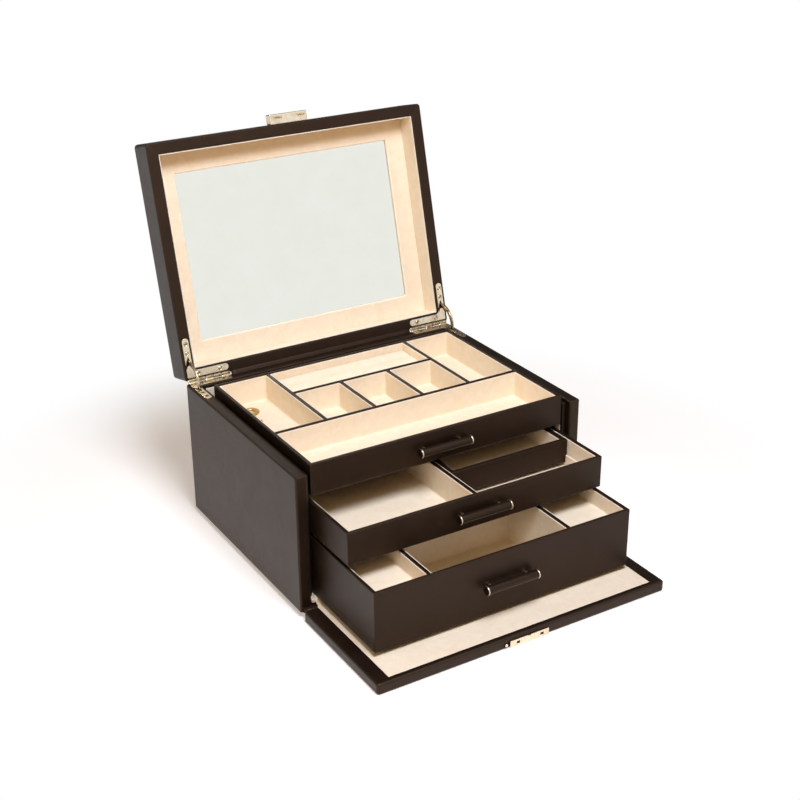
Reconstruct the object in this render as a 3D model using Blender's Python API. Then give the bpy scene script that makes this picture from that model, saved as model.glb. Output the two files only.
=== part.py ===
# A tiered jewelry box: mirror lid open, front flap folded down, three tiers drawn out.
# Metres, Z up, front of the box towards -Y. The origin is the middle of the foot pad's underside.
import math

import bmesh
import bpy
from mathutils import Matrix, Vector
from mathutils.geometry import convex_hull_2d

# Clearances and shared finish sizes
touch_gap = 0.0003          # between pieces that rest on or against each other
cut_overrun = 0.002         # how far a cutter runs past the face that it opens
hair_radius = 0.0004        # softened arris on small metal pieces
screw_sides = 12
round_sides = 24

# Case
case_width = 0.267
case_depth = 0.203
wall_height = 0.1195
wall_thickness = 0.010
wall_edge_radius = 0.0015
pad_height = 0.004
pad_inset = 0.005
base_thickness = 0.0078
wall_lining = 0.0030
wall_lining_recess = 0.0055  # front edge of a side wall's lining behind the front of the wall
wall_lining_drop = 0.0031    # linings of the case end below the rim by this much
back_lining = 0.0015
floor_lining_thickness = 0.0009
lower_shelf_thickness = 0.0024
upper_shelf_thickness = 0.0049

# The three tiers
front_recess = 0.0125       # front of a closed tier behind the front of the walls
tier_back_play = 0.0047     # between a closed tier and the lining of the back wall
tier_side_play = 0.0019
tier_head_play = 0.0004
tier_wall = 0.0030
tier_floor = 0.0025
tier_edge_radius = 0.0009
tray_height = 0.0267
middle_height = 0.0280
bottom_height = 0.0519
tray_out = 0.0077           # how far each tier is drawn out from closed
middle_out = 0.0635
bottom_out = 0.1016
skin = 0.0007               # suede on the inside of a tier's walls
skin_floor = 0.0008
skin_drop = 0.0012          # suede ends below the rim by this much
divider_thickness = 0.0030
divider_drop = 0.0002

# Compartments: the side ones by their width, the rows of the top tray by their depth from its back
tray_side_width = 0.0437
tray_ring_row = 0.0433
tray_square_row = 0.0577
tray_square_count = 3
middle_divider = -0.0030    # from the middle of the drawer
bottom_left_divider = -0.0690
bottom_right_divider = 0.0600
bottom_cross_divider = 0.0840   # from the front of the drawer
raised_floor_depth = 0.0146     # lined floor of the side compartments below the rim
raised_floor_thickness = 0.0025
raised_floor_skirt = 0.0020

# Ring rolls
ring_roll_count = 3
ring_roll_drop = 0.0055     # top of a roll below the rim
ring_roll_end = 0.0035      # rounding at the ends of a roll
ring_roll_valley_share = 0.30   # height of the folds between the rolls, as a share of a roll
ring_roll_steps = 10

# Inner tray of the middle drawer
ledge_width = 0.0018
ledge_height = 0.0132
inner_tray_height = 0.0212
inner_tray_depth = 0.078
inner_tray_set_back = 0.0395
inner_tray_play = 0.0006
inner_tray_wall = 0.0024

# Handles
handle_length = 0.049
handle_radius = 0.0036
handle_ring_radius = 0.0040
handle_ring_width = 0.0016
handle_rod_radius = 0.0022
handle_end_recess = 0.0005
handle_end_lip = 0.0009
handle_stand_off = 0.0060
handle_post_inset = 0.0075  # from an end of the handle to a post
handle_post_radius = 0.0014
handle_post_depth = 0.0020  # how far a post enters the front board

# Lid
lid_depth = 0.030
lid_rim = 0.010
lid_panel = 0.0042
lid_edge_radius = 0.0035
lid_open = math.radians(104.1)
lid_lining_thickness = 0.0008
lid_lining_drop = 0.0008
mirror_margin = 0.0289      # edge of the lid to the visible edge of the mirror
mirror_frame_depth = 0.0207
mirror_frame_thickness = 0.0020
mirror_thickness = 0.0025
mirror_cover = 0.0030       # how far the frame laps over the glass

# Corner hinges, with u across from the outer face of a wall and v forward from the hinge axis
hinge_rise = 0.0021         # axis above the top of the walls
hinge_inset = 0.0003        # axis in front of the back face
barrel_radius = 0.0018
barrel_start = 0.0025
barrel_length = 0.0382
knuckle_count = 5
knuckle_gap = 0.0003
pin_radius = 0.0007
pin_play = 0.0001
pin_head_radius = 0.0015
pin_head = 0.0008
leaf_thickness = 0.0010
leaf_proud = 0.0004
leaf_back = 0.0024
leaf_width = 0.0060
leaf_margin = 0.0023
leaf_pocket_back = 0.0009   # the pocket of a leaf starts this far in front of the axis
side_limb = 0.0370
rear_limb = 0.0410
leaf_screws = (("side", 0.0240), ("side", 0.0320), ("rear", 0.0125), ("rear", 0.0330))
screw_head_radius = 0.0015
screw_head_proud = 0.0003
screw_shank_radius = 0.0007
screw_length = 0.0055

# Quadrant stays
stay_radius = 0.0160
stay_band = 0.0040
stay_thickness = 0.0014
stay_bite = math.radians(12)     # how far a stay still reaches into each rim when open
stay_play = 0.0004

# Flap
flap_thickness = 0.0095
flap_edge_radius = 0.0018
flap_gap = 0.0003           # closed flap to the front of the walls
flap_hinge_gap = 0.0050     # front of the walls to the edge of the open flap
flap_axis_drop = 0.0020     # axis below the flap's inner face
flap_lining_side = 0.0118
flap_lining_free_edge = 0.0045
flap_lining_thickness = 0.0008
strip_thickness = 0.0010
strip_length_inset = 0.0030
strip_slope = 0.0006        # the strip's edge at the case is higher by this much

# Lock
lock_width = 0.0360
lock_plate_height = 0.0058
lock_plate_thickness = 0.0008
lock_plate_lift = 0.0004    # plate above the flap's outer face
lock_case_depth = 0.0110
lock_case_wall = 0.0008
lock_case_narrower = 0.0020
hook_spacing = 0.0222
hook_width = 0.0014
hook_thickness = 0.0014
hook_tip = 0.0010
hook_play = 0.0004
hasp_reach = 0.0086
hasp_height = 0.0085
hasp_radius = 0.0008
front_plate_length = 0.0180
front_plate_thickness = 0.0008
front_plate_width = 0.0300
lock_barrel_radius = 0.0032
lock_barrel_length = 0.0050
key_slot_width = 0.0010
key_slot_length = 0.0036
key_slot_depth = 0.0016
lock_bar_set_back = 0.0012  # behind the free edge of the flap
lock_bar_depth = 0.0016
lock_bar_overhang = 0.0020  # past the outer side of a hook, and past the knob's stem
knob_offset = 0.0215        # middle of the lock to the release knob
knob_radius = 0.0013
knob_proud = 0.0013
knob_stem_radius = 0.0008

# Key
key_bow_radius = 0.0070
key_bow_band = 0.0042
key_thickness = 0.0016
key_shank_length = 0.0180
key_shank_radius = 0.0012
key_bit_length = 0.0045
key_bit_width = 0.0040
key_from_side = 0.0187      # middle of the bow from the left and the back of the tray's inside
key_from_back = 0.0185
key_turn = math.radians(-14.0)  # shank from straight forward towards the left

# Levels worked out from the sizes above
half_width = case_width / 2
front_face = -case_depth / 2
back_face = case_depth / 2
inner_half = half_width - wall_thickness
wall_bottom = pad_height + touch_gap
wall_top = wall_bottom + wall_height
floor_lining_bottom = wall_bottom + base_thickness + touch_gap
floor_top = floor_lining_bottom + floor_lining_thickness
bottom_base = floor_top + touch_gap
lower_shelf_bottom = bottom_base + bottom_height + tier_head_play
middle_base = lower_shelf_bottom + lower_shelf_thickness + touch_gap
upper_shelf_bottom = middle_base + middle_height + tier_head_play
tray_base = upper_shelf_bottom + upper_shelf_thickness + touch_gap
closed_front = front_face + front_recess
tier_half = inner_half - touch_gap - wall_lining - tier_side_play
back_inner = back_face - wall_thickness
hinge_y = back_face - hinge_inset
hinge_z = wall_top + hinge_rise
flap_axis_z = flap_thickness - flap_axis_drop
flap_axis_y = front_face - flap_gap - flap_axis_drop
flap_root = front_face - flap_hinge_gap
flap_tip = flap_axis_y - (wall_top - flap_axis_z)
hook_travel = hook_tip + hook_play
hook_length = hinge_rise + lock_bar_set_back + lock_bar_depth + hook_play + 2 * hook_tip
lock_case_low = front_plate_thickness + 2 * touch_gap
lock_case_high = lock_plate_lift + lock_plate_height
lock_case_half = (lock_width - lock_case_narrower) / 2
lock_level = lock_case_low + lock_case_wall + 2 * touch_gap + hook_thickness / 2
lined_wall = tier_wall + skin + 2 * touch_gap
lined_floor = tier_floor + skin_floor + 2 * touch_gap
lining_inner = inner_half - touch_gap - wall_lining
lining_back = back_inner - touch_gap - back_lining
tier_depth = lining_back - closed_front - tier_back_play
ring_divider = tier_depth - lined_wall - tray_ring_row - divider_thickness / 2
front_divider = ring_divider - divider_thickness - tray_square_row
lined_half = tier_half - lined_wall
tray_column = lined_half - tray_side_width - divider_thickness / 2

finishes = {
    "leather": ((0.020, 0.016, 0.013), 0.46, 0.0),
    "suede": ((0.86, 0.76, 0.62), 0.90, 0.0),
    "nickel": ((0.72, 0.68, 0.60), 0.25, 1.0),
    "brass": ((0.72, 0.52, 0.22), 0.30, 1.0),
    "mirror": ((0.92, 0.93, 0.93), 0.03, 1.0),
    "felt": ((0.012, 0.011, 0.010), 0.95, 0.0),
}


def clear_scene():
    for item in list(bpy.data.objects):
        bpy.data.objects.remove(item, do_unlink=True)


# Building blocks

def add_prism(bm, outline, axis, low, high):
    """Adds a closed prism: the outline lies square to the axis, at low, and runs to high."""
    place = {
        "X": lambda a, b, d: (d, a, b),
        "Y": lambda a, b, d: (a, d, b),
        "Z": lambda a, b, d: (a, b, d),
    }[axis]
    lower = [bm.verts.new(place(a, b, low)) for a, b in outline]
    upper = [bm.verts.new(place(a, b, high)) for a, b in outline]
    faces = [bm.faces.new(lower), bm.faces.new(upper)]
    count = len(outline)
    for i in range(count):
        j = (i + 1) % count
        faces.append(bm.faces.new((lower[i], lower[j], upper[j], upper[i])))
    bmesh.ops.recalc_face_normals(bm, faces=faces)


def add_box(bm, low, high):
    outline = [(low[0], low[1]), (high[0], low[1]), (high[0], high[1]), (low[0], high[1])]
    add_prism(bm, outline, "Z", low[2], high[2])


def arc(centre, radius, start, end, steps):
    return [
        (
            centre[0] + radius * math.cos(start + (end - start) * i / steps),
            centre[1] + radius * math.sin(start + (end - start) * i / steps),
        )
        for i in range(steps + 1)
    ]


def circle(centre, radius, sides):
    return arc(centre, radius, 0, 2 * math.pi, sides)[:-1]


def add_sector(bm, inner, outer, start, end, low, high, steps):
    """A piece of a flat ring about the X axis, its angles measured from -Y upwards."""
    near = [(-a, b) for a, b in arc((0, 0), inner, start, end, steps)]
    far = [(-a, b) for a, b in arc((0, 0), outer, end, start, steps)]
    add_prism(bm, near + far, "X", low, high)


def add_turned(bm, profile, centre, axis, sides):
    """Turns (radius, distance) points about an axis through centre; both ends are closed."""
    place = {
        "X": lambda a, b, d: (d, a, b),
        "Y": lambda a, b, d: (a, d, b),
        "Z": lambda a, b, d: (a, b, d),
    }[axis]
    rings = []
    for radius, distance in profile:
        ring = [Vector(place(a, b, distance)) + Vector(centre) for a, b in circle((0, 0), radius, sides)]
        rings.append([bm.verts.new(point) for point in ring])
    faces = [bm.faces.new(rings[0]), bm.faces.new(rings[-1])]
    for near, far in zip(rings, rings[1:]):
        for i in range(sides):
            j = (i + 1) % sides
            faces.append(bm.faces.new((near[i], near[j], far[j], far[i])))
    bmesh.ops.recalc_face_normals(bm, faces=faces)


def add_ring(bm, outer, inner, low, high, centre, axis, sides):
    """A flat-sided ring about an axis through centre, from low to high along it."""
    place = {
        "X": lambda a, b, d: (d, a, b),
        "Z": lambda a, b, d: (a, b, d),
    }[axis]
    loops = []
    for radius, distance in ((outer, low), (outer, high), (inner, high), (inner, low)):
        points = [Vector(place(a, b, distance)) + Vector(centre) for a, b in circle((0, 0), radius, sides)]
        loops.append([bm.verts.new(point) for point in points])
    faces = []
    for near, far in zip(loops, loops[1:] + loops[:1]):
        for i in range(sides):
            j = (i + 1) % sides
            faces.append(bm.faces.new((near[i], near[j], far[j], far[i])))
    bmesh.ops.recalc_face_normals(bm, faces=faces)


def add_open_box(bm, low, high, wall, floor, opens_down=False):
    """A box without a lid, as one closed skin with walls and a floor of their own thickness."""
    def corners(inset, level):
        x0, y0, x1, y1 = low[0] + inset, low[1] + inset, high[0] - inset, high[1] - inset
        return [bm.verts.new(point) for point in
                ((x0, y0, level), (x1, y0, level), (x1, y1, level), (x0, y1, level))]

    closed, rim = (high[2], low[2]) if opens_down else (low[2], high[2])
    inner_level = closed - floor if opens_down else closed + floor
    loops = [corners(0, closed), corners(0, rim), corners(wall, rim), corners(wall, inner_level)]
    faces = [bm.faces.new(loops[0]), bm.faces.new(loops[3])]
    for near, far in zip(loops, loops[1:]):
        for i in range(4):
            j = (i + 1) % 4
            faces.append(bm.faces.new((near[i], near[j], far[j], far[i])))
    bmesh.ops.recalc_face_normals(bm, faces=faces)


def add_frame(bm, low, high, band):
    """A flat rectangular frame with a band of even width."""
    loops = []
    for inset, level in ((0, low[2]), (0, high[2]), (band, high[2]), (band, low[2])):
        x0, y0, x1, y1 = low[0] + inset, low[1] + inset, high[0] - inset, high[1] - inset
        loops.append([bm.verts.new(point) for point in
                      ((x0, y0, level), (x1, y0, level), (x1, y1, level), (x0, y1, level))])
    faces = []
    for near, far in zip(loops, loops[1:] + loops[:1]):
        for i in range(4):
            j = (i + 1) % 4
            faces.append(bm.faces.new((near[i], near[j], far[j], far[i])))
    bmesh.ops.recalc_face_normals(bm, faces=faces)


# Objects

def empty(name, location, parent=None, turn=0.0):
    item = bpy.data.objects.new(name, None)
    item.location = location
    item.rotation_euler = (turn, 0, 0)
    item.parent = parent
    bpy.context.scene.collection.objects.link(item)
    return item


def make_object(name, bm, parent):
    mesh = bpy.data.meshes.new(name)
    bm.to_mesh(mesh)
    bm.free()
    item = bpy.data.objects.new(name, mesh)
    item.parent = parent
    bpy.context.scene.collection.objects.link(item)
    return item


def piece(name, finish, bm, parent=None):
    """One named sub-part with its own material."""
    item = make_object(name, bm, parent)
    colour, roughness, metallic = finishes[finish]
    material = bpy.data.materials.new(name + "_" + finish)
    material.use_nodes = True
    shader = material.node_tree.nodes["Principled BSDF"]
    shader.inputs["Base Color"].default_value = (*colour, 1)
    shader.inputs["Roughness"].default_value = roughness
    shader.inputs["Metallic"].default_value = metallic
    item.data.materials.append(material)
    return item


def cut(item, bm, label, operation="DIFFERENCE"):
    """Takes the shapes in bm away from the item, or joins them to it."""
    cutter = make_object(item.name + "_" + label, bm, item.parent)
    cutter.hide_render = True
    cutter.display_type = "WIRE"
    modifier = item.modifiers.new(label, "BOOLEAN")
    modifier.operation = operation
    modifier.solver = "EXACT"
    modifier.object = cutter


def soften(item, width, segments=2):
    bevel = item.modifiers.new("soft_edges", "BEVEL")
    bevel.width = width
    bevel.segments = segments
    bevel.limit_method = "ANGLE"
    bevel.angle_limit = math.radians(40)
    bevel.use_clamp_overlap = True


def box_piece(name, finish, low, high, parent=None, radius=0.0):
    bm = bmesh.new()
    add_box(bm, low, high)
    item = piece(name, finish, bm, parent)
    if radius:
        soften(item, radius)
    return item


def round_edges(bm, radius, segments, wanted):
    """Rounds the edges for which wanted(edge) is true."""
    edges = [edge for edge in bm.edges if wanted(edge)]
    bmesh.ops.bevel(bm, geom=edges, offset=radius, offset_type="OFFSET", segments=segments,
                    profile=0.5, affect="EDGES", clamp_overlap=True)


def smooth(item, angle=40):
    item.data.shade_smooth()
    item.data.set_sharp_from_angle(angle=math.radians(angle))


# Corner hinges. A point (u, v) lies u inwards from the outer face of a side wall and
# v forward of the hinge axis; side is -1 for the left wall and 1 for the right one.

def across(side, u):
    return side * (half_width - u)


def leaf_outline(side, grow=0.0, back=leaf_back):
    u0, u1 = leaf_margin - grow, leaf_margin + leaf_width + grow
    v0, v1 = back - grow, leaf_back + leaf_width + grow
    half = leaf_width / 2 + grow
    steps = 6
    side_end = arc((leaf_margin + leaf_width / 2, side_limb - leaf_width / 2), half, 0, math.pi, steps)
    rear_end = arc((rear_limb - leaf_width / 2, leaf_back + leaf_width / 2), half,
                   -math.pi / 2, math.pi / 2, steps)
    outline = [(u0, v0)]
    if back < leaf_back:
        outline.append((rear_limb + grow, v0))
        outline += rear_end[len(rear_end) // 2:]
    else:
        outline += rear_end
    outline += [(u1, v1)] + side_end
    return [(across(side, u), -v) for u, v in outline]


def knuckle_spans(member):
    """Where a member's knuckles lie along the barrel; the case has the first and the last."""
    pitch = (barrel_length + knuckle_gap) / knuckle_count
    first = 0 if member == "case" else 1
    return [(barrel_start + i * pitch, barrel_start + (i + 1) * pitch - knuckle_gap)
            for i in range(first, knuckle_count, 2)]


def screw_places(side):
    """(x, v) of each screw of a leaf."""
    places = []
    for limb, distance in leaf_screws:
        middle = leaf_width / 2
        if limb == "side":
            places.append((across(side, leaf_margin + middle), distance))
        else:
            places.append((across(side, distance), leaf_back + middle))
    return places


def add_stay_slot(bm, side, low, high):
    """A straight slot through a leaf for its stay."""
    half = stay_thickness / 2 + stay_play
    middle = across(side, leaf_margin + leaf_width / 2)
    reach = stay_band / 2 + 2 * stay_play
    add_box(bm, (middle - half, -stay_radius - reach, low), (middle + half, -stay_radius + reach, high))


def hinge_leaf(side, member, parent, surface):
    """One leaf with its knuckles and screws; surface is the height of its rim above the hinge axis."""
    up = 1 if member == "case" else -1      # the way that the rim faces
    outer = surface + up * leaf_proud
    inner = outer - up * leaf_thickness
    low, high = min(outer, inner), max(outer, inner)
    bm = bmesh.new()
    add_prism(bm, leaf_outline(side), "Z", low, high)
    leaf = piece(("left" if side < 0 else "right") + "_" + member + "_leaf", "nickel", bm, parent)
    lap = leaf_back + touch_gap
    root = outer - up * (leaf_proud + touch_gap)
    points = circle((0, 0), barrel_radius, round_sides) + [(-lap, root), (-lap, outer)]
    profile = [points[i] for i in convex_hull_2d(points)]
    knuckles = bmesh.new()
    for start, end in knuckle_spans(member):
        add_prism(knuckles, profile, "X", *sorted((across(side, start), across(side, end))))
    cut(leaf, knuckles, "knuckles", "UNION")
    holes = bmesh.new()
    ends = sorted((across(side, barrel_start - cut_overrun),
                   across(side, barrel_start + barrel_length + cut_overrun)))
    add_prism(holes, circle((0, 0), pin_radius + pin_play, screw_sides), "X", *ends)
    add_stay_slot(holes, side, low - cut_overrun, high + cut_overrun)
    cut(leaf, holes, "holes")
    screws = bmesh.new()
    top, point = outer + up * screw_head_proud, inner - up * screw_length
    for x, v in screw_places(side):
        neck = inner + up * hair_radius
        profile = [(screw_shank_radius / 2, point), (screw_shank_radius, point + up * screw_shank_radius),
                   (screw_shank_radius, neck), (screw_head_radius, neck),
                   (screw_head_radius, top - up * hair_radius / 2), (screw_head_radius - hair_radius, top)]
        add_turned(screws, profile, (x, -v, 0), "Z", round_sides // 2)
    cut(leaf, screws, "screws", "UNION")


def cut_rim_for_hinges(item, surface, up, sides):
    """Leaf pockets, screw pilots, stay mortises and, in the lid, the groove for the barrels."""
    depth = leaf_thickness - leaf_proud + touch_gap
    half = stay_thickness / 2 + stay_play
    reach = stay_band / 2 + stay_play
    sweep = (lid_open / 2 + stay_bite) + stay_play / stay_radius
    pockets, pilots, mortises = bmesh.new(), bmesh.new(), bmesh.new()
    for side in sides:
        low, high = sorted((surface - up * depth, surface + up * cut_overrun))
        add_prism(pockets, leaf_outline(side, touch_gap, leaf_pocket_back), "Z", low, high)
        for x, v in screw_places(side):
            far = surface - up * (leaf_thickness + screw_length + touch_gap)
            add_prism(pilots, circle((x, -v), screw_shank_radius + touch_gap, screw_sides), "Z",
                      *sorted((far, surface)))
        middle = across(side, leaf_margin + leaf_width / 2)
        start, end = (0, sweep) if up < 0 else (-sweep, 0)
        add_sector(mortises, stay_radius - reach, stay_radius + reach, start, end,
                   middle - half, middle + half, round_sides // 2)
    cut(item, pockets, "leaf_pockets")
    cut(item, pilots, "screw_pilots")
    cut(item, mortises, "stay_mortises")
    if up < 0:
        groove = bmesh.new()
        for side in sides:
            ends = sorted((across(side, barrel_start - 2 * pin_head),
                           across(side, barrel_start + barrel_length + 2 * pin_head)))
            add_prism(groove, circle((0, 0), barrel_radius + touch_gap, round_sides), "X", *ends)
        cut(item, groove, "barrel_grooves")


# Case

def build_case():
    box_piece("foot_pad", "felt", (-half_width + pad_inset, front_face + pad_inset, 0),
              (half_width - pad_inset, back_face - pad_inset, pad_height), None, hair_radius)
    axis = empty("case_hinge_line", (0, hinge_y, hinge_z))
    surface = wall_top - hinge_z
    for name, side in (("left_wall", -1), ("right_wall", 1)):
        x0, x1 = sorted((side * inner_half, side * half_width))
        wall = box_piece(name, "leather", (x0, front_face - hinge_y, wall_bottom - hinge_z),
                         (x1, back_face - hinge_y, surface), axis, wall_edge_radius)
        cut_rim_for_hinges(wall, surface, 1, [side])
        hinge_leaf(side, "case", axis, surface)
        build_hinge_pin("left" if side < 0 else "right", side, axis)
    back = box_piece("back_wall", "leather",
                     (-inner_half + touch_gap, back_inner - hinge_y, wall_bottom - hinge_z),
                     (inner_half - touch_gap, back_face - hinge_y, surface), axis, hair_radius)
    cut_rim_for_hinges(back, surface, 1, [-1, 1])
    build_floor()
    build_shelves_and_linings()


def build_hinge_pin(hand, side, axis):
    start, end = barrel_start - touch_gap, barrel_start + barrel_length + touch_gap
    profile = [(pin_head_radius, start - pin_head), (pin_head_radius, start), (pin_radius, start),
               (pin_radius, end), (pin_head_radius, end), (pin_head_radius, end + pin_head)]
    bm = bmesh.new()
    add_turned(bm, [(radius, across(side, u)) for radius, u in profile], (0, 0, 0), "X", screw_sides)
    smooth(piece(hand + "_hinge_pin", "nickel", bm, axis))


def build_floor():
    """The base board, the suede over it and over its front edge, and the strip that holds the flap."""
    half = inner_half - touch_gap
    board_front = front_face + floor_lining_thickness + touch_gap
    box_piece("base_board", "leather", (-half, board_front, wall_bottom),
              (half, back_inner - touch_gap, wall_bottom + base_thickness), None, hair_radius)
    lip_bottom = flap_thickness + strip_slope + touch_gap
    lip_back = front_face + floor_lining_thickness
    outline = [(front_face, lip_bottom), (lip_back, lip_bottom), (lip_back, floor_lining_bottom),
               (back_inner - touch_gap, floor_lining_bottom), (back_inner - touch_gap, floor_top),
               (front_face, floor_top)]
    bm = bmesh.new()
    add_prism(bm, outline, "X", -half, half)
    piece("floor_lining", "suede", bm)
    near, far = flap_root + touch_gap, board_front - touch_gap
    near_top, far_top = flap_thickness, flap_thickness + strip_slope
    outline = [(near, near_top - strip_thickness), (far, far_top - strip_thickness),
               (far, far_top), (near, near_top)]
    bm = bmesh.new()
    add_prism(bm, outline, "X", -inner_half + strip_length_inset, inner_half - strip_length_inset)
    piece("hinge_strip", "suede", bm)


def build_shelves_and_linings():
    low, high = floor_top + touch_gap, wall_top - wall_lining_drop
    for name, side in (("left_wall_lining", -1), ("right_wall_lining", 1)):
        x0, x1 = sorted((side * (inner_half - touch_gap), side * lining_inner))
        box_piece(name, "suede", (x0, front_face + wall_lining_recess, low), (x1, back_inner - touch_gap, high))
    box_piece("back_wall_lining", "suede", (-lining_inner + touch_gap, lining_back, low),
              (lining_inner - touch_gap, back_inner - touch_gap, high))
    for name, base, thickness in (("lower_shelf", lower_shelf_bottom, lower_shelf_thickness),
                                  ("upper_shelf", upper_shelf_bottom, upper_shelf_thickness)):
        box_piece(name, "leather", (-lining_inner + touch_gap, closed_front, base),
                  (lining_inner - touch_gap, lining_back - touch_gap, base + thickness), None, hair_radius)


# Lid

def build_lid():
    turn = empty("lid_hinge", (0, hinge_y, hinge_z), None, -lid_open)
    lid_front = front_face - hinge_y
    bm = bmesh.new()
    add_open_box(bm, (-half_width, lid_front, 0), (half_width, hinge_inset, lid_depth),
                 lid_rim, lid_panel, opens_down=True)

    def outside(edge):
        return all(abs(vert.co.x) > half_width - lid_edge_radius for vert in edge.verts)

    def crown(edge):
        return outside(edge) and any(vert.co.z > lid_depth - hair_radius for vert in edge.verts)

    round_edges(bm, lid_edge_radius, 4, crown)
    shell = piece("lid_shell", "leather", bm, turn)
    cut_rim_for_hinges(shell, 0.0, -1, [-1, 1])
    cavity = (half_width - lid_rim - touch_gap, lid_front + lid_rim + touch_gap,
              hinge_inset - lid_rim - touch_gap)
    bm = bmesh.new()
    add_frame(bm, (-cavity[0], cavity[1], lid_lining_drop),
              (cavity[0], cavity[2], mirror_frame_depth - touch_gap), lid_lining_thickness)
    piece("lid_lining", "suede", bm, turn)
    build_mirror(turn, lid_front, cavity)
    for side in (-1, 1):
        hinge_leaf(side, "lid", turn, 0.0)
    build_hasp(turn, lid_front)


def build_mirror(turn, lid_front, cavity):
    glass_half = half_width - mirror_margin
    glass_front, glass_back = lid_front + mirror_margin, hinge_inset - mirror_margin
    frame_top = mirror_frame_depth + mirror_frame_thickness
    frame = box_piece("mirror_frame", "suede", (-cavity[0], cavity[1], mirror_frame_depth),
                      (cavity[0], cavity[2], frame_top), turn)
    opening = bmesh.new()
    add_box(opening, (-glass_half, glass_front, mirror_frame_depth - cut_overrun),
            (glass_half, glass_back, frame_top + cut_overrun))
    cut(frame, opening, "opening")
    soften(frame, hair_radius)
    low = frame_top + touch_gap
    box_piece("mirror", "mirror", (-glass_half - mirror_cover, glass_front - mirror_cover, low),
              (glass_half + mirror_cover, glass_back + mirror_cover, low + mirror_thickness), turn)


def hook_outline(x):
    """A hook seen from the front, in the closed lid: a shank with a short toe at its tip."""
    left, right = x - hook_width / 2, x + hook_width / 2
    toe_top = -hook_length + 2 * hook_tip
    return [(left, hasp_height / 2), (left, -hook_length), (right, -hook_length),
            (right + hook_tip, -hook_length + hook_tip), (right + hook_tip, toe_top), (right, toe_top),
            (right, hasp_height / 2)]


def build_hasp(turn, lid_front):
    """The lid's half of the lock: a box on the front face with two hooks that enter the flap."""
    face = lid_front - touch_gap
    hasp = box_piece("lock_hasp", "nickel", (-lock_width / 2, face - hasp_reach, 0),
                     (lock_width / 2, face, hasp_height), turn)
    soften(hasp, hasp_radius)
    hooks = bmesh.new()
    hook_y = flap_axis_y - hinge_y + (lock_level - flap_axis_z)
    for x in (-hook_spacing / 2, hook_spacing / 2):
        add_prism(hooks, hook_outline(x), "Y", hook_y - hook_thickness / 2, hook_y + hook_thickness / 2)
    cut(hasp, hooks, "hooks", "UNION")


# Quadrant stays

def build_stays():
    reach = lid_open / 2 + stay_bite
    for name, side in (("left_stay", -1), ("right_stay", 1)):
        middle = across(side, leaf_margin + leaf_width / 2)
        turn = empty(name + "_hinge", (middle, hinge_y, hinge_z), None, -lid_open / 2)
        bm = bmesh.new()
        add_sector(bm, stay_radius - stay_band / 2, stay_radius + stay_band / 2, -reach, reach,
                   -stay_thickness / 2, stay_thickness / 2, round_sides)
        piece(name, "nickel", bm, turn)


# Flap and lock. Heights in the lock are measured from the flap's outer face.

def build_flap():
    turn = empty("flap_hinge", (0, flap_axis_y, flap_axis_z))
    root, tip = flap_root - flap_axis_y, flap_tip - flap_axis_y
    outer, inner = -flap_axis_z, flap_axis_drop
    board = box_piece("flap_board", "leather", (-half_width, tip, outer), (half_width, root, inner), turn)
    soften(board, flap_edge_radius, 3)
    lining_half = half_width - flap_lining_side
    pocket = bmesh.new()
    add_box(pocket, (-lining_half - touch_gap, tip + flap_lining_free_edge - touch_gap,
                     inner - flap_lining_thickness - touch_gap),
            (lining_half + touch_gap, root + cut_overrun, inner + cut_overrun))
    cut(board, pocket, "lining_pocket")
    box_piece("flap_lining", "suede",
              (-lining_half, tip + flap_lining_free_edge, inner - flap_lining_thickness),
              (lining_half, root, inner), turn)
    build_lock(turn, board, tip, outer)
    build_front_plate(turn, board, tip, outer)
    build_lock_bar(turn, board, tip, outer)


def build_lock(turn, board, tip, outer):
    """The case let into the flap's free edge and the plate with the hooks' two slots."""
    low, high = outer + lock_case_low, outer + lock_case_high
    mortise = bmesh.new()
    add_box(mortise, (-lock_case_half - touch_gap, tip - cut_overrun, low - touch_gap),
            (lock_case_half + touch_gap, tip + lock_case_depth + touch_gap, high + touch_gap))
    cut(board, mortise, "lock_mortise")
    case = box_piece("lock_case", "nickel", (-lock_case_half, tip, low),
                     (lock_case_half, tip + lock_case_depth, high), turn)
    hollow = bmesh.new()
    add_box(hollow, (-lock_case_half + lock_case_wall, tip - cut_overrun, low + lock_case_wall),
            (lock_case_half - lock_case_wall, tip + lock_case_depth - lock_case_wall, high - lock_case_wall))
    cut(case, hollow, "hollow")
    bar_gate = bmesh.new()
    add_box(bar_gate, (-lock_case_half - cut_overrun, tip - cut_overrun, low + lock_case_wall),
            (-lock_case_half + lock_case_wall + cut_overrun,
             tip + lock_bar_set_back + lock_bar_depth + hook_play, high - lock_case_wall))
    cut(case, bar_gate, "bar_gate")
    plate = box_piece("lock_edge_plate", "nickel",
                      (-lock_width / 2, tip - touch_gap - lock_plate_thickness, outer + lock_plate_lift),
                      (lock_width / 2, tip - touch_gap, high), turn)
    slots = bmesh.new()
    half_height = hook_thickness / 2 + hook_play
    for x in (-hook_spacing / 2, hook_spacing / 2):
        add_box(slots, (x - hook_width / 2 - hook_play, tip - cut_overrun, outer + lock_level - half_height),
                (x + hook_width / 2 + hook_tip + hook_play, tip + cut_overrun,
                 outer + lock_level + half_height))
    cut(plate, slots, "hook_slots")


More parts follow.
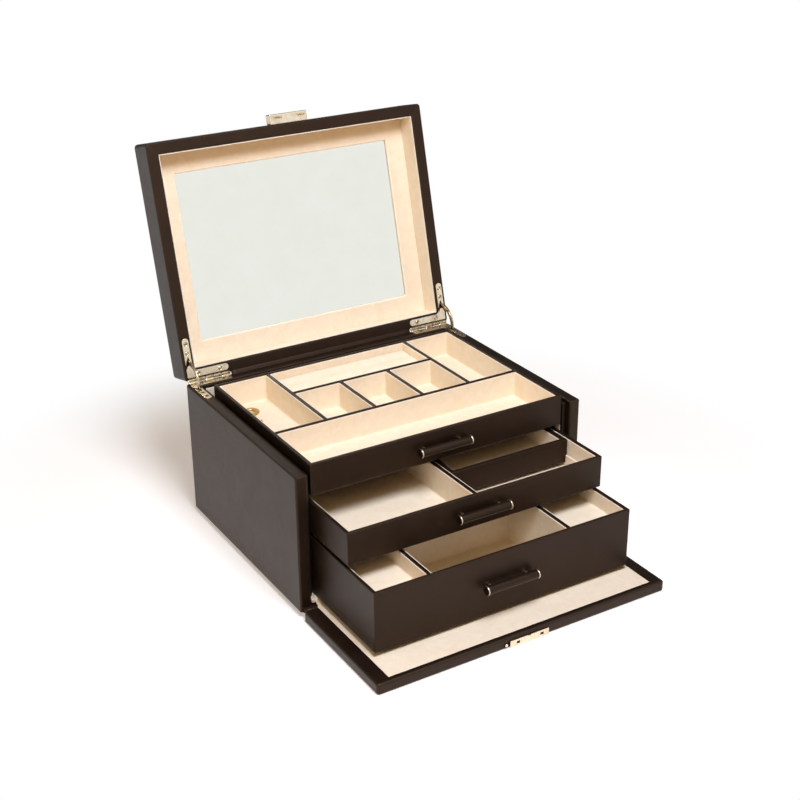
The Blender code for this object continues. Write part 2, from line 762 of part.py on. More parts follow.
def build_front_plate(turn, board, tip, outer):
    """The plate on the flap's outer face, let in flush, with the barrel that the key turns."""
    near, far = tip + flap_edge_radius, tip + flap_edge_radius + front_plate_length
    top = outer + touch_gap + front_plate_thickness
    recess = bmesh.new()
    add_box(recess, (-front_plate_width / 2 - touch_gap, near - touch_gap, outer - cut_overrun),
            (front_plate_width / 2 + touch_gap, far + touch_gap, top + touch_gap))
    cut(board, recess, "front_plate_recess")
    plate = box_piece("lock_front_plate", "nickel", (-front_plate_width / 2, near, outer + touch_gap),
                      (front_plate_width / 2, far, top), turn)
    centre_y = (tip + lock_case_depth + far) / 2
    hole = bmesh.new()
    add_prism(hole, circle((0, centre_y), lock_barrel_radius + touch_gap, round_sides), "Z",
              outer - cut_overrun, top + cut_overrun)
    cut(plate, hole, "barrel_hole")
    bore = bmesh.new()
    barrel_top = 2 * touch_gap + lock_barrel_length
    add_prism(bore, circle((0, centre_y), lock_barrel_radius + touch_gap, round_sides), "Z",
              outer, outer + barrel_top)
    cut(board, bore, "barrel_bore")
    axis = empty("lock_barrel_axis", (0, centre_y, outer), turn)
    bm = bmesh.new()
    add_turned(bm, [(lock_barrel_radius, touch_gap), (lock_barrel_radius, touch_gap + lock_barrel_length)],
               (0, 0, 0), "Z", round_sides)
    barrel = piece("lock_barrel", "nickel", bm, axis)
    slot = bmesh.new()
    add_box(slot, (-key_slot_width / 2, -key_slot_length / 2, -cut_overrun),
            (key_slot_width / 2, key_slot_length / 2, touch_gap + key_slot_depth))
    cut(barrel, slot, "key_slot")
    smooth(barrel)


def build_lock_bar(turn, board, tip, outer):
    """The bar that catches the hooks, and the knob that slides it aside along the flap's free edge."""
    low = lock_case_low + lock_case_wall + touch_gap
    high = lock_case_high - lock_case_wall - touch_gap
    level = (low + high) / 2
    near, far = lock_bar_set_back, lock_bar_set_back + lock_bar_depth
    left = -knob_offset - knob_stem_radius - lock_bar_overhang
    right = hook_spacing / 2 + hook_width / 2 + hook_tip + lock_bar_overhang
    slide = empty("lock_bar_slide", (0, tip, outer), turn)
    bar = box_piece("lock_bar", "nickel", (left, near, low), (right, far, high), slide)
    notches = bmesh.new()
    notch_top = lock_level + hook_thickness / 2 + hook_play
    for x in (-hook_spacing / 2, hook_spacing / 2):
        notch_left, notch_right = x - hook_width / 2 - hook_play - hook_travel, x + hook_width / 2 + hook_play
        add_box(notches, (notch_left, near - cut_overrun, low - cut_overrun),
                (notch_right, far + cut_overrun, notch_top))
    cut(bar, notches, "hook_notches")
    channel = bmesh.new()
    add_box(channel, (left - touch_gap, tip + near - touch_gap, outer + low - touch_gap),
            (-lock_case_half + touch_gap, tip + far + touch_gap, outer + high + touch_gap))
    cut(board, channel, "bar_channel")
    stem_slot = bmesh.new()
    stem = knob_stem_radius + touch_gap
    add_box(stem_slot, (-knob_offset - stem, tip - cut_overrun, outer + level - stem),
            (-knob_offset + stem + hook_travel, tip + near + touch_gap, outer + level + stem))
    cut(board, stem_slot, "knob_slot")
    knob_face = -touch_gap - knob_proud
    bm = bmesh.new()
    add_turned(bm, [(knob_radius - hair_radius, knob_face), (knob_radius, knob_face + hair_radius),
                    (knob_radius, -touch_gap), (knob_stem_radius, -touch_gap),
                    (knob_stem_radius, near - touch_gap)], (-knob_offset, 0, level), "Y", round_sides)
    smooth(piece("release_knob", "nickel", bm, slide))


# Tiers. Each is built from its own front bottom edge, x across, y from the front face backwards.

def tier_box(name, height, parent):
    bm = bmesh.new()
    add_open_box(bm, (-tier_half, 0, 0), (tier_half, tier_depth, height), tier_wall, tier_floor)
    round_edges(bm, tier_edge_radius, 2, lambda edge: edge.is_convex)
    return piece(name, "leather", bm, parent)


def tier_lining(name, height, parent):
    """The suede inside a tier: one skin over the floor and up the four walls."""
    inset = tier_wall + touch_gap
    bm = bmesh.new()
    add_open_box(bm, (-tier_half + inset, inset, tier_floor + touch_gap),
                 (tier_half - inset, tier_depth - inset, height - skin_drop), skin, skin_floor)
    return piece(name, "suede", bm, parent)


def add_divider(bm, low_x, high_x, low_y, high_y, height):
    add_box(bm, (low_x, low_y, lined_floor), (high_x, high_y, height - divider_drop))


def divider_piece(name, low_x, high_x, low_y, high_y, height, parent):
    bm = bmesh.new()
    add_divider(bm, low_x, high_x, low_y, high_y, height)
    return piece(name, "leather", bm, parent)


def build_handle(tier, height, parent, box):
    """A metal rod with a ring at each end and two posts, and the leather sleeve between the rings."""
    level = height / 2
    half, ring = handle_length / 2, handle_length / 2 - handle_ring_width
    recess, lip = half - handle_end_recess, handle_ring_radius - handle_end_lip
    centre = (0, -handle_stand_off, level)
    bm = bmesh.new()
    profile = [(lip, -recess), (lip, -half), (handle_ring_radius, -half), (handle_ring_radius, -ring),
               (handle_rod_radius, -ring)]
    add_turned(bm, profile + [(radius, -x) for radius, x in reversed(profile)], centre, "X", round_sides)
    rod = piece(tier + "_handle_rod", "nickel", bm, parent)
    posts, sleeve_holes, holes = bmesh.new(), bmesh.new(), bmesh.new()
    for x in (handle_post_inset - half, half - handle_post_inset):
        add_prism(posts, circle((x, level), handle_post_radius, screw_sides), "Y",
                  -handle_stand_off, handle_post_depth)
        add_prism(sleeve_holes, circle((x, level), handle_post_radius + touch_gap, screw_sides), "Y",
                  -handle_stand_off, handle_radius)
        add_prism(holes, circle((x, level), handle_post_radius + touch_gap, screw_sides), "Y",
                  -cut_overrun, handle_post_depth + touch_gap)
    cut(rod, posts, "posts", "UNION")
    smooth(rod)
    cut(box, holes, "post_holes")
    bm = bmesh.new()
    end = ring - touch_gap
    add_ring(bm, handle_radius, handle_rod_radius + touch_gap, -end, end, centre, "X", round_sides)
    sleeve = piece(tier + "_handle_sleeve", "leather", bm, parent)
    cut(sleeve, sleeve_holes, "post_holes")
    smooth(sleeve)


def build_tray():
    slide = empty("top_tray_slide", (0, closed_front - tray_out, tray_base))
    box = tier_box("top_tray_box", tray_height, slide)
    build_handle("top_tray", tray_height, slide, box)
    tier_lining("top_tray_lining", tray_height, slide)
    half = divider_thickness / 2
    near, far = front_divider, tier_depth - lined_wall
    square = 2 * tray_column / tray_square_count
    dividers = divider_piece("top_tray_dividers", -lined_half, lined_half, near - half, near + half,
                             tray_height, slide)
    columns, cross, squares = bmesh.new(), bmesh.new(), bmesh.new()
    for x in (-tray_column, tray_column):
        add_divider(columns, x - half, x + half, near, far, tray_height)
    add_divider(cross, -tray_column, tray_column, ring_divider - half, ring_divider + half, tray_height)
    for i in range(1, tray_square_count):
        x = -tray_column + square * i
        add_divider(squares, x - half, x + half, near, ring_divider, tray_height)
    for bm, label in ((columns, "columns"), (cross, "cross"), (squares, "squares")):
        cut(dividers, bm, label, "UNION")
    build_ring_rolls(slide, tray_column - half - touch_gap, ring_divider + half + touch_gap, far)
    build_key(slide)


def build_ring_rolls(slide, length, y0, y1):
    """One padded insert with three rolls side by side; rings are pressed between them."""
    pitch = (y1 - y0) / ring_roll_count
    rise = tray_height - ring_roll_drop - lined_floor
    rings = []
    for x, scale in roll_stations(length):
        ring = [(x, y1, 0), (x, y0, 0)]
        for i in range(ring_roll_count):
            for step in range(0 if i == 0 else 1, ring_roll_steps + 1):
                angle = math.pi * step / ring_roll_steps
                height = ring_roll_valley_share + (1 - ring_roll_valley_share) * math.sin(angle) ** (2 / 3)
                ring.append((x, y0 + pitch * (i + (1 - math.cos(angle)) / 2), rise * scale * height))
        rings.append(ring)
    bm = bmesh.new()
    loops = [[bm.verts.new((x, y, lined_floor + z)) for x, y, z in ring] for ring in rings]
    faces = [bm.faces.new(loops[0]), bm.faces.new(loops[-1])]
    for near, far in zip(loops, loops[1:]):
        for i in range(len(near)):
            j = (i + 1) % len(near)
            faces.append(bm.faces.new((near[i], near[j], far[j], far[i])))
    bmesh.ops.recalc_face_normals(bm, faces=faces)
    smooth(piece("ring_rolls", "suede", bm, slide), 60)


def roll_stations(length):
    """(place, scale of the section) along a roll, drawn in at its rounded ends."""
    steps = 4
    ends = []
    for i in range(steps + 1):
        angle = math.pi / 2 * i / steps
        ends.append((-length + ring_roll_end * (1 - math.cos(angle)), (1 + math.sin(angle)) / 2))
    return ends + [(-x, scale) for x, scale in reversed(ends)]


def turned_key_part(bm):
    bmesh.ops.rotate(bm, cent=(0, 0, 0), matrix=Matrix.Rotation(key_turn, 3, "Z"), verts=bm.verts)
    return bm


def build_key(slide):
    back = tier_depth - lined_wall
    lift = empty("key_lift", (key_from_side - lined_half, back - key_from_back, lined_floor), slide)
    bm = bmesh.new()
    add_ring(bm, key_bow_radius, key_bow_radius - key_bow_band, 0, key_thickness, (0, 0, 0), "Z", round_sides)
    key = piece("key", "brass", bm, lift)
    shank = bmesh.new()
    shank_end = -key_bow_radius - key_shank_length
    add_turned(shank, [(key_shank_radius, shank_end), (key_shank_radius, -key_bow_radius + key_bow_band / 2)],
               (0, 0, key_shank_radius), "Y", screw_sides)
    cut(key, turned_key_part(shank), "shank", "UNION")
    bit = bmesh.new()
    add_box(bit, (0, shank_end + key_shank_radius, key_shank_radius - key_thickness / 4),
            (key_shank_radius + key_bit_width, shank_end + key_shank_radius + key_bit_length,
             key_shank_radius + key_thickness / 4))
    cut(key, turned_key_part(bit), "bit", "UNION")


def build_middle():
    slide = empty("middle_drawer_slide", (0, closed_front - middle_out, middle_base))
    box = tier_box("middle_drawer_box", middle_height, slide)
    build_handle("middle_drawer", middle_height, slide, box)
    tier_lining("middle_drawer_lining", middle_height, slide)
    half = divider_thickness / 2
    front, back = lined_wall, tier_depth - lined_wall
    divider_piece("middle_drawer_divider", middle_divider - half, middle_divider + half, front, back,
                  middle_height, slide)
    left, right = middle_divider + half + touch_gap, lined_half
    for name, x in (("left_tray_ledge", left), ("right_tray_ledge", right - ledge_width)):
        box_piece(name, "suede", (x, front, lined_floor), (x + ledge_width, back, ledge_height), slide)
    build_inner_tray(slide, left, right)


def build_inner_tray(slide, left, right):
    """A stepped tray: its wide upper part rides on the two ledges."""
    rim = middle_height - divider_drop
    bottom = rim - inner_tray_height
    run = empty("inner_tray_slide", ((left + right) / 2, inner_tray_set_back, 0), slide)
    half = (right - left) / 2 - inner_tray_play
    narrow = half - ledge_width
    step = ledge_height + touch_gap
    outline = [(-narrow, bottom), (narrow, bottom), (narrow, step), (half, step), (half, rim),
               (-half, rim), (-half, step), (-narrow, step)]
    bm = bmesh.new()
    add_prism(bm, outline, "Y", 0, inner_tray_depth)
    box = piece("inner_tray_box", "leather", bm, run)
    wide = narrow - inner_tray_wall
    floor = bottom + inner_tray_wall
    hollow = bmesh.new()
    add_box(hollow, (-wide, inner_tray_wall, floor),
            (wide, inner_tray_depth - inner_tray_wall, rim + cut_overrun))
    cut(box, hollow, "hollow")
    bm = bmesh.new()
    add_open_box(bm, (-wide + touch_gap, inner_tray_wall + touch_gap, floor + touch_gap),
                 (wide - touch_gap, inner_tray_depth - inner_tray_wall - touch_gap, rim - skin_drop),
                 skin, skin_floor)
    piece("inner_tray_lining", "suede", bm, run)


def build_bottom():
    slide = empty("bottom_drawer_slide", (0, closed_front - bottom_out, bottom_base))
    box = tier_box("bottom_drawer_box", bottom_height, slide)
    build_handle("bottom_drawer", bottom_height, slide, box)
    tier_lining("bottom_drawer_lining", bottom_height, slide)
    half, front, back = divider_thickness / 2, lined_wall, tier_depth - lined_wall
    for name, x in (("left_bottom_divider", bottom_left_divider), ("right_bottom_divider", bottom_right_divider)):
        divider_piece(name, x - half, x + half, front, back, bottom_height, slide)
    divider_piece("cross_bottom_divider", bottom_left_divider + half + touch_gap,
                  bottom_right_divider - half - touch_gap, bottom_cross_divider - half,
                  bottom_cross_divider + half, bottom_height, slide)
    for name, x0, x1 in (("left_raised_floor", -lined_half, bottom_left_divider - half - touch_gap),
                         ("right_raised_floor", bottom_right_divider + half + touch_gap, lined_half)):
        raised_floor(name, x0, x1, front, back, slide)


def raised_floor(name, x0, x1, front, back, slide):
    """Floor of a shallow side compartment; it stands on a skirt along each of its long sides."""
    top = bottom_height - raised_floor_depth
    under, skirt = top - raised_floor_thickness, raised_floor_skirt
    outline = [(x0, lined_floor), (x0 + skirt, lined_floor), (x0 + skirt, under), (x1 - skirt, under),
               (x1 - skirt, lined_floor), (x1, lined_floor), (x1, top), (x0, top)]
    bm = bmesh.new()
    add_prism(bm, outline, "Y", front, back)
    piece(name, "suede", bm, slide)


clear_scene()
build_case()
build_lid()
build_stays()
build_flap()
build_tray()
build_middle()
build_bottom()
bpy.context.view_layer.update()
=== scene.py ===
import math

import bmesh
import bpy
from mathutils import Matrix, Vector


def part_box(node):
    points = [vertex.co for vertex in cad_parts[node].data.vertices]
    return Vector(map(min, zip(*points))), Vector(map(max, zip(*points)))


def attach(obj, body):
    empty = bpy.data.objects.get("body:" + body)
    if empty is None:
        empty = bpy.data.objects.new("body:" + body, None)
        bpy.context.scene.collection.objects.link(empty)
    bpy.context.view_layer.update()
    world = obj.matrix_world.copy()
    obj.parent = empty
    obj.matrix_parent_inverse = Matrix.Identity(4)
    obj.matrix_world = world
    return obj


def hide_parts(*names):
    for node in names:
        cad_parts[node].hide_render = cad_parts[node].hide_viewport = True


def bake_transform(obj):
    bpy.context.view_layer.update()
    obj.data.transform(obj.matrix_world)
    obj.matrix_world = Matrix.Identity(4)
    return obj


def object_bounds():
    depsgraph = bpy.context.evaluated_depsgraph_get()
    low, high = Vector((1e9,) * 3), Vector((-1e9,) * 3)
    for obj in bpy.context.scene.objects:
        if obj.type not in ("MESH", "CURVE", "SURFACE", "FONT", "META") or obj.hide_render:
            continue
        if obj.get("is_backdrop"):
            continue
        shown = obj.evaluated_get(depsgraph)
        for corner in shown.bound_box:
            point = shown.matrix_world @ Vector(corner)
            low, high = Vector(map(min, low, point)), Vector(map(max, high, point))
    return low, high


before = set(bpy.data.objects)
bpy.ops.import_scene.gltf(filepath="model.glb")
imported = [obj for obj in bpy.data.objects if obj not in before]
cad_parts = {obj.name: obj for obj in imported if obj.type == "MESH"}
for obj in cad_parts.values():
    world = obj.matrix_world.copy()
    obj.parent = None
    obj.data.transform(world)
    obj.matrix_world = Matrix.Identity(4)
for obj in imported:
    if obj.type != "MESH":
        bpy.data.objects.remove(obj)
cadLow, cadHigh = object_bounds()
print("frame loaded")


# Camera and studio

cameraFit = {
    "place": (-0.55443, -0.95401, 0.62535),
    "yaw": 31.0289, "pitch": -24.7927, "roll": -0.4579,   # degrees
    "focalDots": 1433.34,    # focal length in dots of the 800 dot wide picture
    "pictureDots": 800, "sensor": 36.0, "clip": (0.05, 60.0),
}
studio = {
    "floorSize": 16.0, "floorColour": "#fbfaf8",
    "glow": (0.24, 0.44),         # distances between which the floor turns as bright as the backdrop
    "backdropColour": "#ffffff", "ambientColour": "#ffc98e",
    "ambient": (0.09, 0.24),      # room light from behind and from before the box
    "mirrored": (0.11, 1.02),     # the same as gloss and glass show it
    "roomFade": (0.5, -0.7),      # directions, as their Y, between which the room brightens
    "floorGlow": 0.31, "farGlow": 0.6,      # the second as the box's own faces see it
    "lights": (    # name, place, aim, size, watts, colour
        ("topLight", (-0.12, -0.56, 1.08), (0.0, -0.05, 0.1), 0.46, 12.6, "#f0f5ff"),
        ("frontLight", (-1.0, -1.3, 1.30), (0.0, 0.0, 0.15), 0.7, 4.0, "#ffd5a0"),
        ("sideLight", (-1.5, 0.3, 0.8), (0.0, 0.0, 0.1), 0.9, 5.2, "#ffe9d4"),
    ),
}


def linear(colour):    # sRGB hex to the linear colour that a shader reads
    parts = [int(colour[i:i + 2], 16) / 255 for i in (1, 3, 5)]
    return tuple(p / 12.92 if p <= 0.04045 else ((p + 0.055) / 1.055) ** 2.4 for p in parts) + (1.0,)


def addNode(tree, kind, inputs=None, **settings):
    # one node; each input is a value or the socket that feeds it
    made = tree.nodes.new(kind)
    for name, value in settings.items():
        setattr(made, name, value)
    for name, value in (inputs or {}).items():
        if isinstance(value, bpy.types.NodeSocket):
            tree.links.new(value, made.inputs[name])
        else:
            made.inputs[name].default_value = value
    return made


def newMaterial(name):
    material = bpy.data.materials.new(name)
    material.use_nodes = True
    material.node_tree.nodes.clear()
    return material, material.node_tree


def blendColours(tree, share, low, high):
    return addNode(tree, "ShaderNodeMix", {0: share, 6: low, 7: high}, data_type="RGBA").outputs[2]


def blendValues(tree, share, low, high):
    return addNode(tree, "ShaderNodeMix", {0: share, 2: low, 3: high}, data_type="FLOAT").outputs[0]


def makeCamera(fit):
    yaw, pitch, roll = (math.radians(fit[key]) for key in ("yaw", "pitch", "roll"))
    forward = Vector((math.sin(yaw) * math.cos(pitch), math.cos(yaw) * math.cos(pitch), math.sin(pitch)))
    right = forward.cross(Vector((0, 0, 1))).normalized()
    up = right.cross(forward)
    right, up = (math.cos(roll) * right + math.sin(roll) * up, math.cos(roll) * up - math.sin(roll) * right)
    data = bpy.data.cameras.new("camera")
    data.sensor_width = fit["sensor"]
    data.lens = fit["focalDots"] * fit["sensor"] / fit["pictureDots"]
    data.clip_start, data.clip_end = fit["clip"]
    camera = bpy.data.objects.new("camera", data)
    bpy.context.scene.collection.objects.link(camera)
    turn = Matrix((right, up, -forward)).transposed()
    camera.matrix_world = Matrix.Translation(fit["place"]) @ turn.to_4x4()
    bpy.context.scene.camera = camera


def makeStudio(look):
    scene = bpy.context.scene
    scene.view_settings.view_transform = "Standard"
    world = bpy.data.worlds.new("studioWorld")
    world.use_nodes = True
    tree = world.node_tree
    tree.nodes.clear()
    around = addNode(tree, "ShaderNodeTexCoord").outputs["Generated"]
    toward = addNode(tree, "ShaderNodeSeparateXYZ", {0: around}).outputs["Y"]
    fadeStart, fadeEnd = look["roomFade"]
    room, gloss = (
        addNode(tree, "ShaderNodeMapRange", {"Value": toward, "From Min": fadeStart, "From Max": fadeEnd,
                                             "To Min": atBack, "To Max": atFront},
                interpolation_type="SMOOTHSTEP").outputs[0]
        for atBack, atFront in (look["ambient"], look["mirrored"]))
    ray = addNode(tree, "ShaderNodeLightPath").outputs
    shown = blendValues(tree, ray["Is Glossy Ray"], room, gloss)
    strength = blendValues(tree, ray["Is Camera Ray"], shown, 1.0)
    white, warm = linear(look["backdropColour"]), linear(look["ambientColour"])
    tint = blendColours(tree, ray["Is Diffuse Ray"], white, warm)
    air = addNode(tree, "ShaderNodeBackground", {"Color": tint, "Strength": strength})
    addNode(tree, "ShaderNodeOutputWorld", {"Surface": air.outputs[0]})
    scene.world = world
    for name, place, aim, size, watts, colour in look["lights"]:
        data = bpy.data.lights.new(name, "AREA")
        data.shape, data.size, data.energy = "DISK", size, watts
        data.color = linear(colour)[:3]
        light = bpy.data.objects.new(name, data)
        light.location = place
        light.rotation_euler = (Vector(aim) - Vector(place)).to_track_quat("-Z", "Y").to_euler()
        scene.collection.objects.link(light)
    # painted studio floor: matt near the box, and further off as bright as the backdrop, so no edge shows
    material, tree = newMaterial("matt_white_paint")
    place = addNode(tree, "ShaderNodeTexCoord").outputs["Object"]
    far = addNode(tree, "ShaderNodeVectorMath", {0: place}, operation="LENGTH").outputs["Value"]
    glowStart, glowEnd = look["glow"]
    share = addNode(tree, "ShaderNodeMapRange", {"Value": far, "From Min": glowStart, "From Max": glowEnd},
                    interpolation_type="SMOOTHSTEP").outputs[0]
    paint = addNode(tree, "ShaderNodeBsdfDiffuse", {"Color": linear(look["floorColour"])}).outputs[0]
    onto = addNode(tree, "ShaderNodeLightPath").outputs["Is Diffuse Ray"]
    tint = blendColours(tree, onto, white, warm)
    farGlow = blendValues(tree, onto, 1.0, look["farGlow"])
    lift = addNode(tree, "ShaderNodeEmission", {"Color": tint, "Strength": look["floorGlow"]}).outputs[0]
    matt = addNode(tree, "ShaderNodeAddShader", {0: paint, 1: lift}).outputs[0]
    glow = addNode(tree, "ShaderNodeEmission", {"Color": tint, "Strength": farGlow}).outputs[0]
    mix = addNode(tree, "ShaderNodeMixShader", {0: share, 1: matt, 2: glow}).outputs[0]
    addNode(tree, "ShaderNodeOutputMaterial", {"Surface": mix})
    half = look["floorSize"] / 2
    mesh = bpy.data.meshes.new("studioFloor")
    mesh.from_pydata([(-half, -half, 0), (half, -half, 0), (half, half, 0), (-half, half, 0)], [],
                     [(0, 1, 2, 3)])
    mesh.materials.append(material)
    floor = bpy.data.objects.new("studioFloor", mesh)
    scene.collection.objects.link(floor)
    floor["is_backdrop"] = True


makeCamera(cameraFit)
makeStudio(studio)
print("camera and studio ready")


# Materials

leatherLook = {
    "dark": "#190f09", "light": "#20160f", "edge": "#2b231c",
    # the real grain is 0.4 mm wide, finer than a dot of the picture, so it is drawn coarser
    "grain": 0.0011, "groove": 0.22,
    "cloud": 0.016, "rubPatch": 0.004, "rub": (0.35, 0.8),
    "relief": 0.00005, "roughness": (0.37, 0.42), "gloss": 0.30, "sheen": "#ffd6b8",
}
suedeLook = {
    # edge is a painted highlight: the lighter colour on rims and rounded edges
    "dark": "#ecdcc3", "light": "#f5ead7", "edge": "#fcf3e4", "gloss": 0.08,
    "nap": 0.007, "fibre": 0.0009,      # real fibres are 0.05 mm thick; only their clumps show
    "napTone": (0.25, 0.85), "fibreTone": (-0.1, 0.15),
    "relief": 0.00008, "roughness": (0.88, 0.97), "sheen": 0.06, "sheenColour": "#ffe3bd",
}
nickelLook = {"dark": "#d3c2a6", "light": "#eee0ca", "patch": 0.0035, "relief": 0.00001,
              "roughness": (0.34, 0.24)}
# a darker copy of the nickel for knuckles, screws, stays and hooks: the shade and dark reflections these
# small parts show are painted into its colour
shadedNickelLook = {"dark": "#6d583b", "light": "#dccaa9", "patch": 0.0022, "relief": 0.00002,
               "roughness": (0.34, 0.18)}
brassLook = {"dark": "#b08a4c", "light": "#dcbf86", "patch": 0.003, "relief": 0.00001,
             "roughness": (0.42, 0.26)}
glassLook = {"tint": "#e9eae3", "dusty": "#e6e8df", "dust": 0.02, "roughness": (0.012, 0.03)}
feltLook = {"dark": "#14110f", "light": "#221d1a", "nap": 0.002, "relief": 0.0002,
            "roughness": (0.93, 0.99), "sheen": 0.1}


def noise(tree, place, size, detail=3.0, distortion=0.0):      # size in metres
    return addNode(tree, "ShaderNodeTexNoise", {"Vector": place, "Scale": 1 / size, "Detail": detail,
                                                "Distortion": distortion}).outputs["Fac"]


def spread(tree, value, low, high, start=0.3, end=0.7):
    # stretches what lies between start and end over low to high
    return addNode(tree, "ShaderNodeMapRange", {"Value": value, "From Min": start, "From Max": end,
                                                "To Min": low, "To Max": high}).outputs[0]


def combine(tree, first, second, operation):
    return addNode(tree, "ShaderNodeMath", {0: first, 1: second}, operation=operation).outputs[0]


def startMaterial(name):
    material, tree = newMaterial(name)
    return material, tree, addNode(tree, "ShaderNodeTexCoord").outputs["Object"]


# the edge mask: rubbed wear on leather, a painted highlight on suede
def edgeWearAndHighlight(tree):      # 0 on faces to 1 on the edges, as the mesh carries it
    return addNode(tree, "ShaderNodeAttribute", attribute_name="wear").outputs["Fac"]


def finishMaterial(tree, colour, roughness, height, relief, constants):
    bump = addNode(tree, "ShaderNodeBump", {"Height": height, "Distance": relief, "Strength": 1.0})
    shader = addNode(tree, "ShaderNodeBsdfPrincipled", {"Base Color": colour, "Roughness": roughness,
                                                        "Normal": bump.outputs[0], **constants})
    addNode(tree, "ShaderNodeOutputMaterial", {"Surface": shader.outputs[0]})


def makeLeather(name, look):
    # embossed PU leather, rolled film on cloth: soft sheen, shallow pebble grain, paler on rubbed edges
    material, tree, place = startMaterial(name)
    cloud = noise(tree, place, look["cloud"], 4.0)
    cells = addNode(tree, "ShaderNodeTexVoronoi", {"Vector": place, "Scale": 1 / look["grain"]},
                    feature="DISTANCE_TO_EDGE").outputs["Distance"]
    pebble = spread(tree, cells, 0.0, 1.0, 0.0, look["groove"])
    pores = noise(tree, place, look["grain"] * 0.6, 2.0)
    height = combine(tree, pebble, pores, "ADD")
    tone = combine(tree, spread(tree, cloud, 0.0, 0.8), spread(tree, pebble, 0.0, 0.2), "ADD")
    patches = spread(tree, noise(tree, place, look["rubPatch"]), *look["rub"])
    rubbed = combine(tree, edgeWearAndHighlight(tree), patches, "MULTIPLY")
    body = blendColours(tree, tone, linear(look["dark"]), linear(look["light"]))
    colour = blendColours(tree, rubbed, body, linear(look["edge"]))
    finishMaterial(tree, colour, spread(tree, cloud, *look["roughness"]), height, look["relief"],
                   {"Specular IOR Level": look["gloss"], "Specular Tint": linear(look["sheen"])})
    return material


def makeSuede(name, look):
    # brushed microfibre suede: no gloss, a soft sheen, and patches where the nap lies another way
    material, tree, place = startMaterial(name)
    nap = noise(tree, place, look["nap"], 4.0, 0.6)
    fibre = noise(tree, place, look["fibre"])
    tone = combine(tree, spread(tree, nap, *look["napTone"]), spread(tree, fibre, *look["fibreTone"]), "ADD")
    body = blendColours(tree, tone, linear(look["dark"]), linear(look["light"]))
    # rims and rounded edges are painted lighter here: a painted highlight
    colour = blendColours(tree, edgeWearAndHighlight(tree), body, linear(look["edge"]))
    finishMaterial(tree, colour, spread(tree, nap, *look["roughness"]), fibre, look["relief"],
                   {"Specular IOR Level": look["gloss"], "Sheen Weight": look["sheen"],
                    "Sheen Roughness": 0.5, "Sheen Tint": linear(look["sheenColour"])})
    return material


def makeMetal(name, look):
    # plated metal, polished then aged: warm, mottled, with a soft haze in its reflections, duller where dark
    material, tree, place = startMaterial(name)
    patch = noise(tree, place, look["patch"], 4.0, 0.8)
    colour = blendColours(tree, spread(tree, patch, 0.0, 1.0), linear(look["dark"]), linear(look["light"]))
    finishMaterial(tree, colour, spread(tree, patch, *look["roughness"]),
                   noise(tree, place, look["patch"] * 0.2), look["relief"], {"Metallic": 1.0})
    return material


def makeGlass(name, look):
    # silvered float glass: a clean, faintly green reflection with a trace of dust
    material, tree, place = startMaterial(name)
    dust = noise(tree, place, look["dust"], 5.0)
    colour = blendColours(tree, spread(tree, dust, 0.0, 1.0), linear(look["tint"]), linear(look["dusty"]))
    shader = addNode(tree, "ShaderNodeBsdfPrincipled", {
        "Base Color": colour, "Roughness": spread(tree, dust, *look["roughness"]), "Metallic": 1.0})
    addNode(tree, "ShaderNodeOutputMaterial", {"Surface": shader.outputs[0]})
    return material


def makeFelt(name, look):
    # pressed felt under the case: black, dull and slightly hairy
    material, tree, place = startMaterial(name)
    nap = noise(tree, place, look["nap"], 5.0)
    colour = blendColours(tree, nap, linear(look["dark"]), linear(look["light"]))
    finishMaterial(tree, colour, spread(tree, nap, *look["roughness"]), nap, look["relief"],
                   {"Sheen Weight": look["sheen"]})
    return material


finishes = {
    "leather": makeLeather("embossed_leatherette", leatherLook),
    "suede": makeSuede("brushed_microsuede", suedeLook),
    "nickel": makeMetal("aged_champagne_nickel", nickelLook),
    "shadedNickel": makeMetal("tarnished_champagne_nickel", shadedNickelLook),
    # darker nickel: painted shade and dark reflections
    "brass": makeMetal("satin_brass", brassLook),
    "mirror_glass": makeGlass("silvered_glass", glassLook),
    "felt": makeFelt("pressed_felt", feltLook),
}
print("materials ready")


# Building blocks

hold = 0.0006       # rings this far from a rounding keep the flat faces flat
least = 0.0001      # smallest rounding


def straight(x, y, z):
    return Vector((x, y, z))


def rounded(corners, radii, inset, exact=None, steps=4):
    # (x, y, bend) points round an anticlockwise plan; each corner is rounded, with a holding point each side
    bends = []
    for i, here in enumerate(corners):
        before, here, after = Vector(corners[i - 1]), Vector(here), Vector(corners[(i + 1) % len(corners)])
        arrive, leave = (here - before).normalized(), (after - here).normalized()
        in0, in1 = Vector((-arrive.y, arrive.x)), Vector((-leave.y, leave.x))
        corner = here + (in0 + in1) * (inset / (1 + in0.dot(in1)))
        turn = math.atan2(arrive.x * leave.y - arrive.y * leave.x, arrive.dot(leave))
        side = 1 if turn > 0 else -1
        radius = max(exact if exact is not None else radii[i] - side * inset, least)
        bends.append((corner, arrive, leave, in0 * side, turn, radius, radius * math.tan(abs(turn) / 2)))
    points = []
    for i, (corner, arrive, leave, inward, turn, radius, cut) in enumerate(bends):
        room = [0.4 * ((other[0] - corner).length - cut - other[-1])
                for other in (bends[i - 1], bends[i + 1 - len(bends)])]
        start = corner - arrive * cut
        centre = start + inward * radius
        points.append((*(start - arrive * min(hold, room[0])), 0.0))
        for k in range(steps + 1):
            points.append((*(centre + Matrix.Rotation(turn * k / steps, 2) @ (start - centre)),
                           0.4 + 0.6 * math.sin(math.pi * k / steps)))
        points.append((*(corner + leave * (cut + min(hold, room[1]))), 0.0))
    return points


def roll(inset, height, radius, start, end, exact=None, steps=4):
    # stations round an edge; angles in degrees, 0 is outwards and 90 up
    made = []
    for k in range(steps + 1):
        angle = math.radians(start + (end - start) * k / steps)
        made.append((inset - radius * math.cos(angle), height + radius * math.sin(angle),
                     math.sin(math.pi * k / steps), exact))
    return made


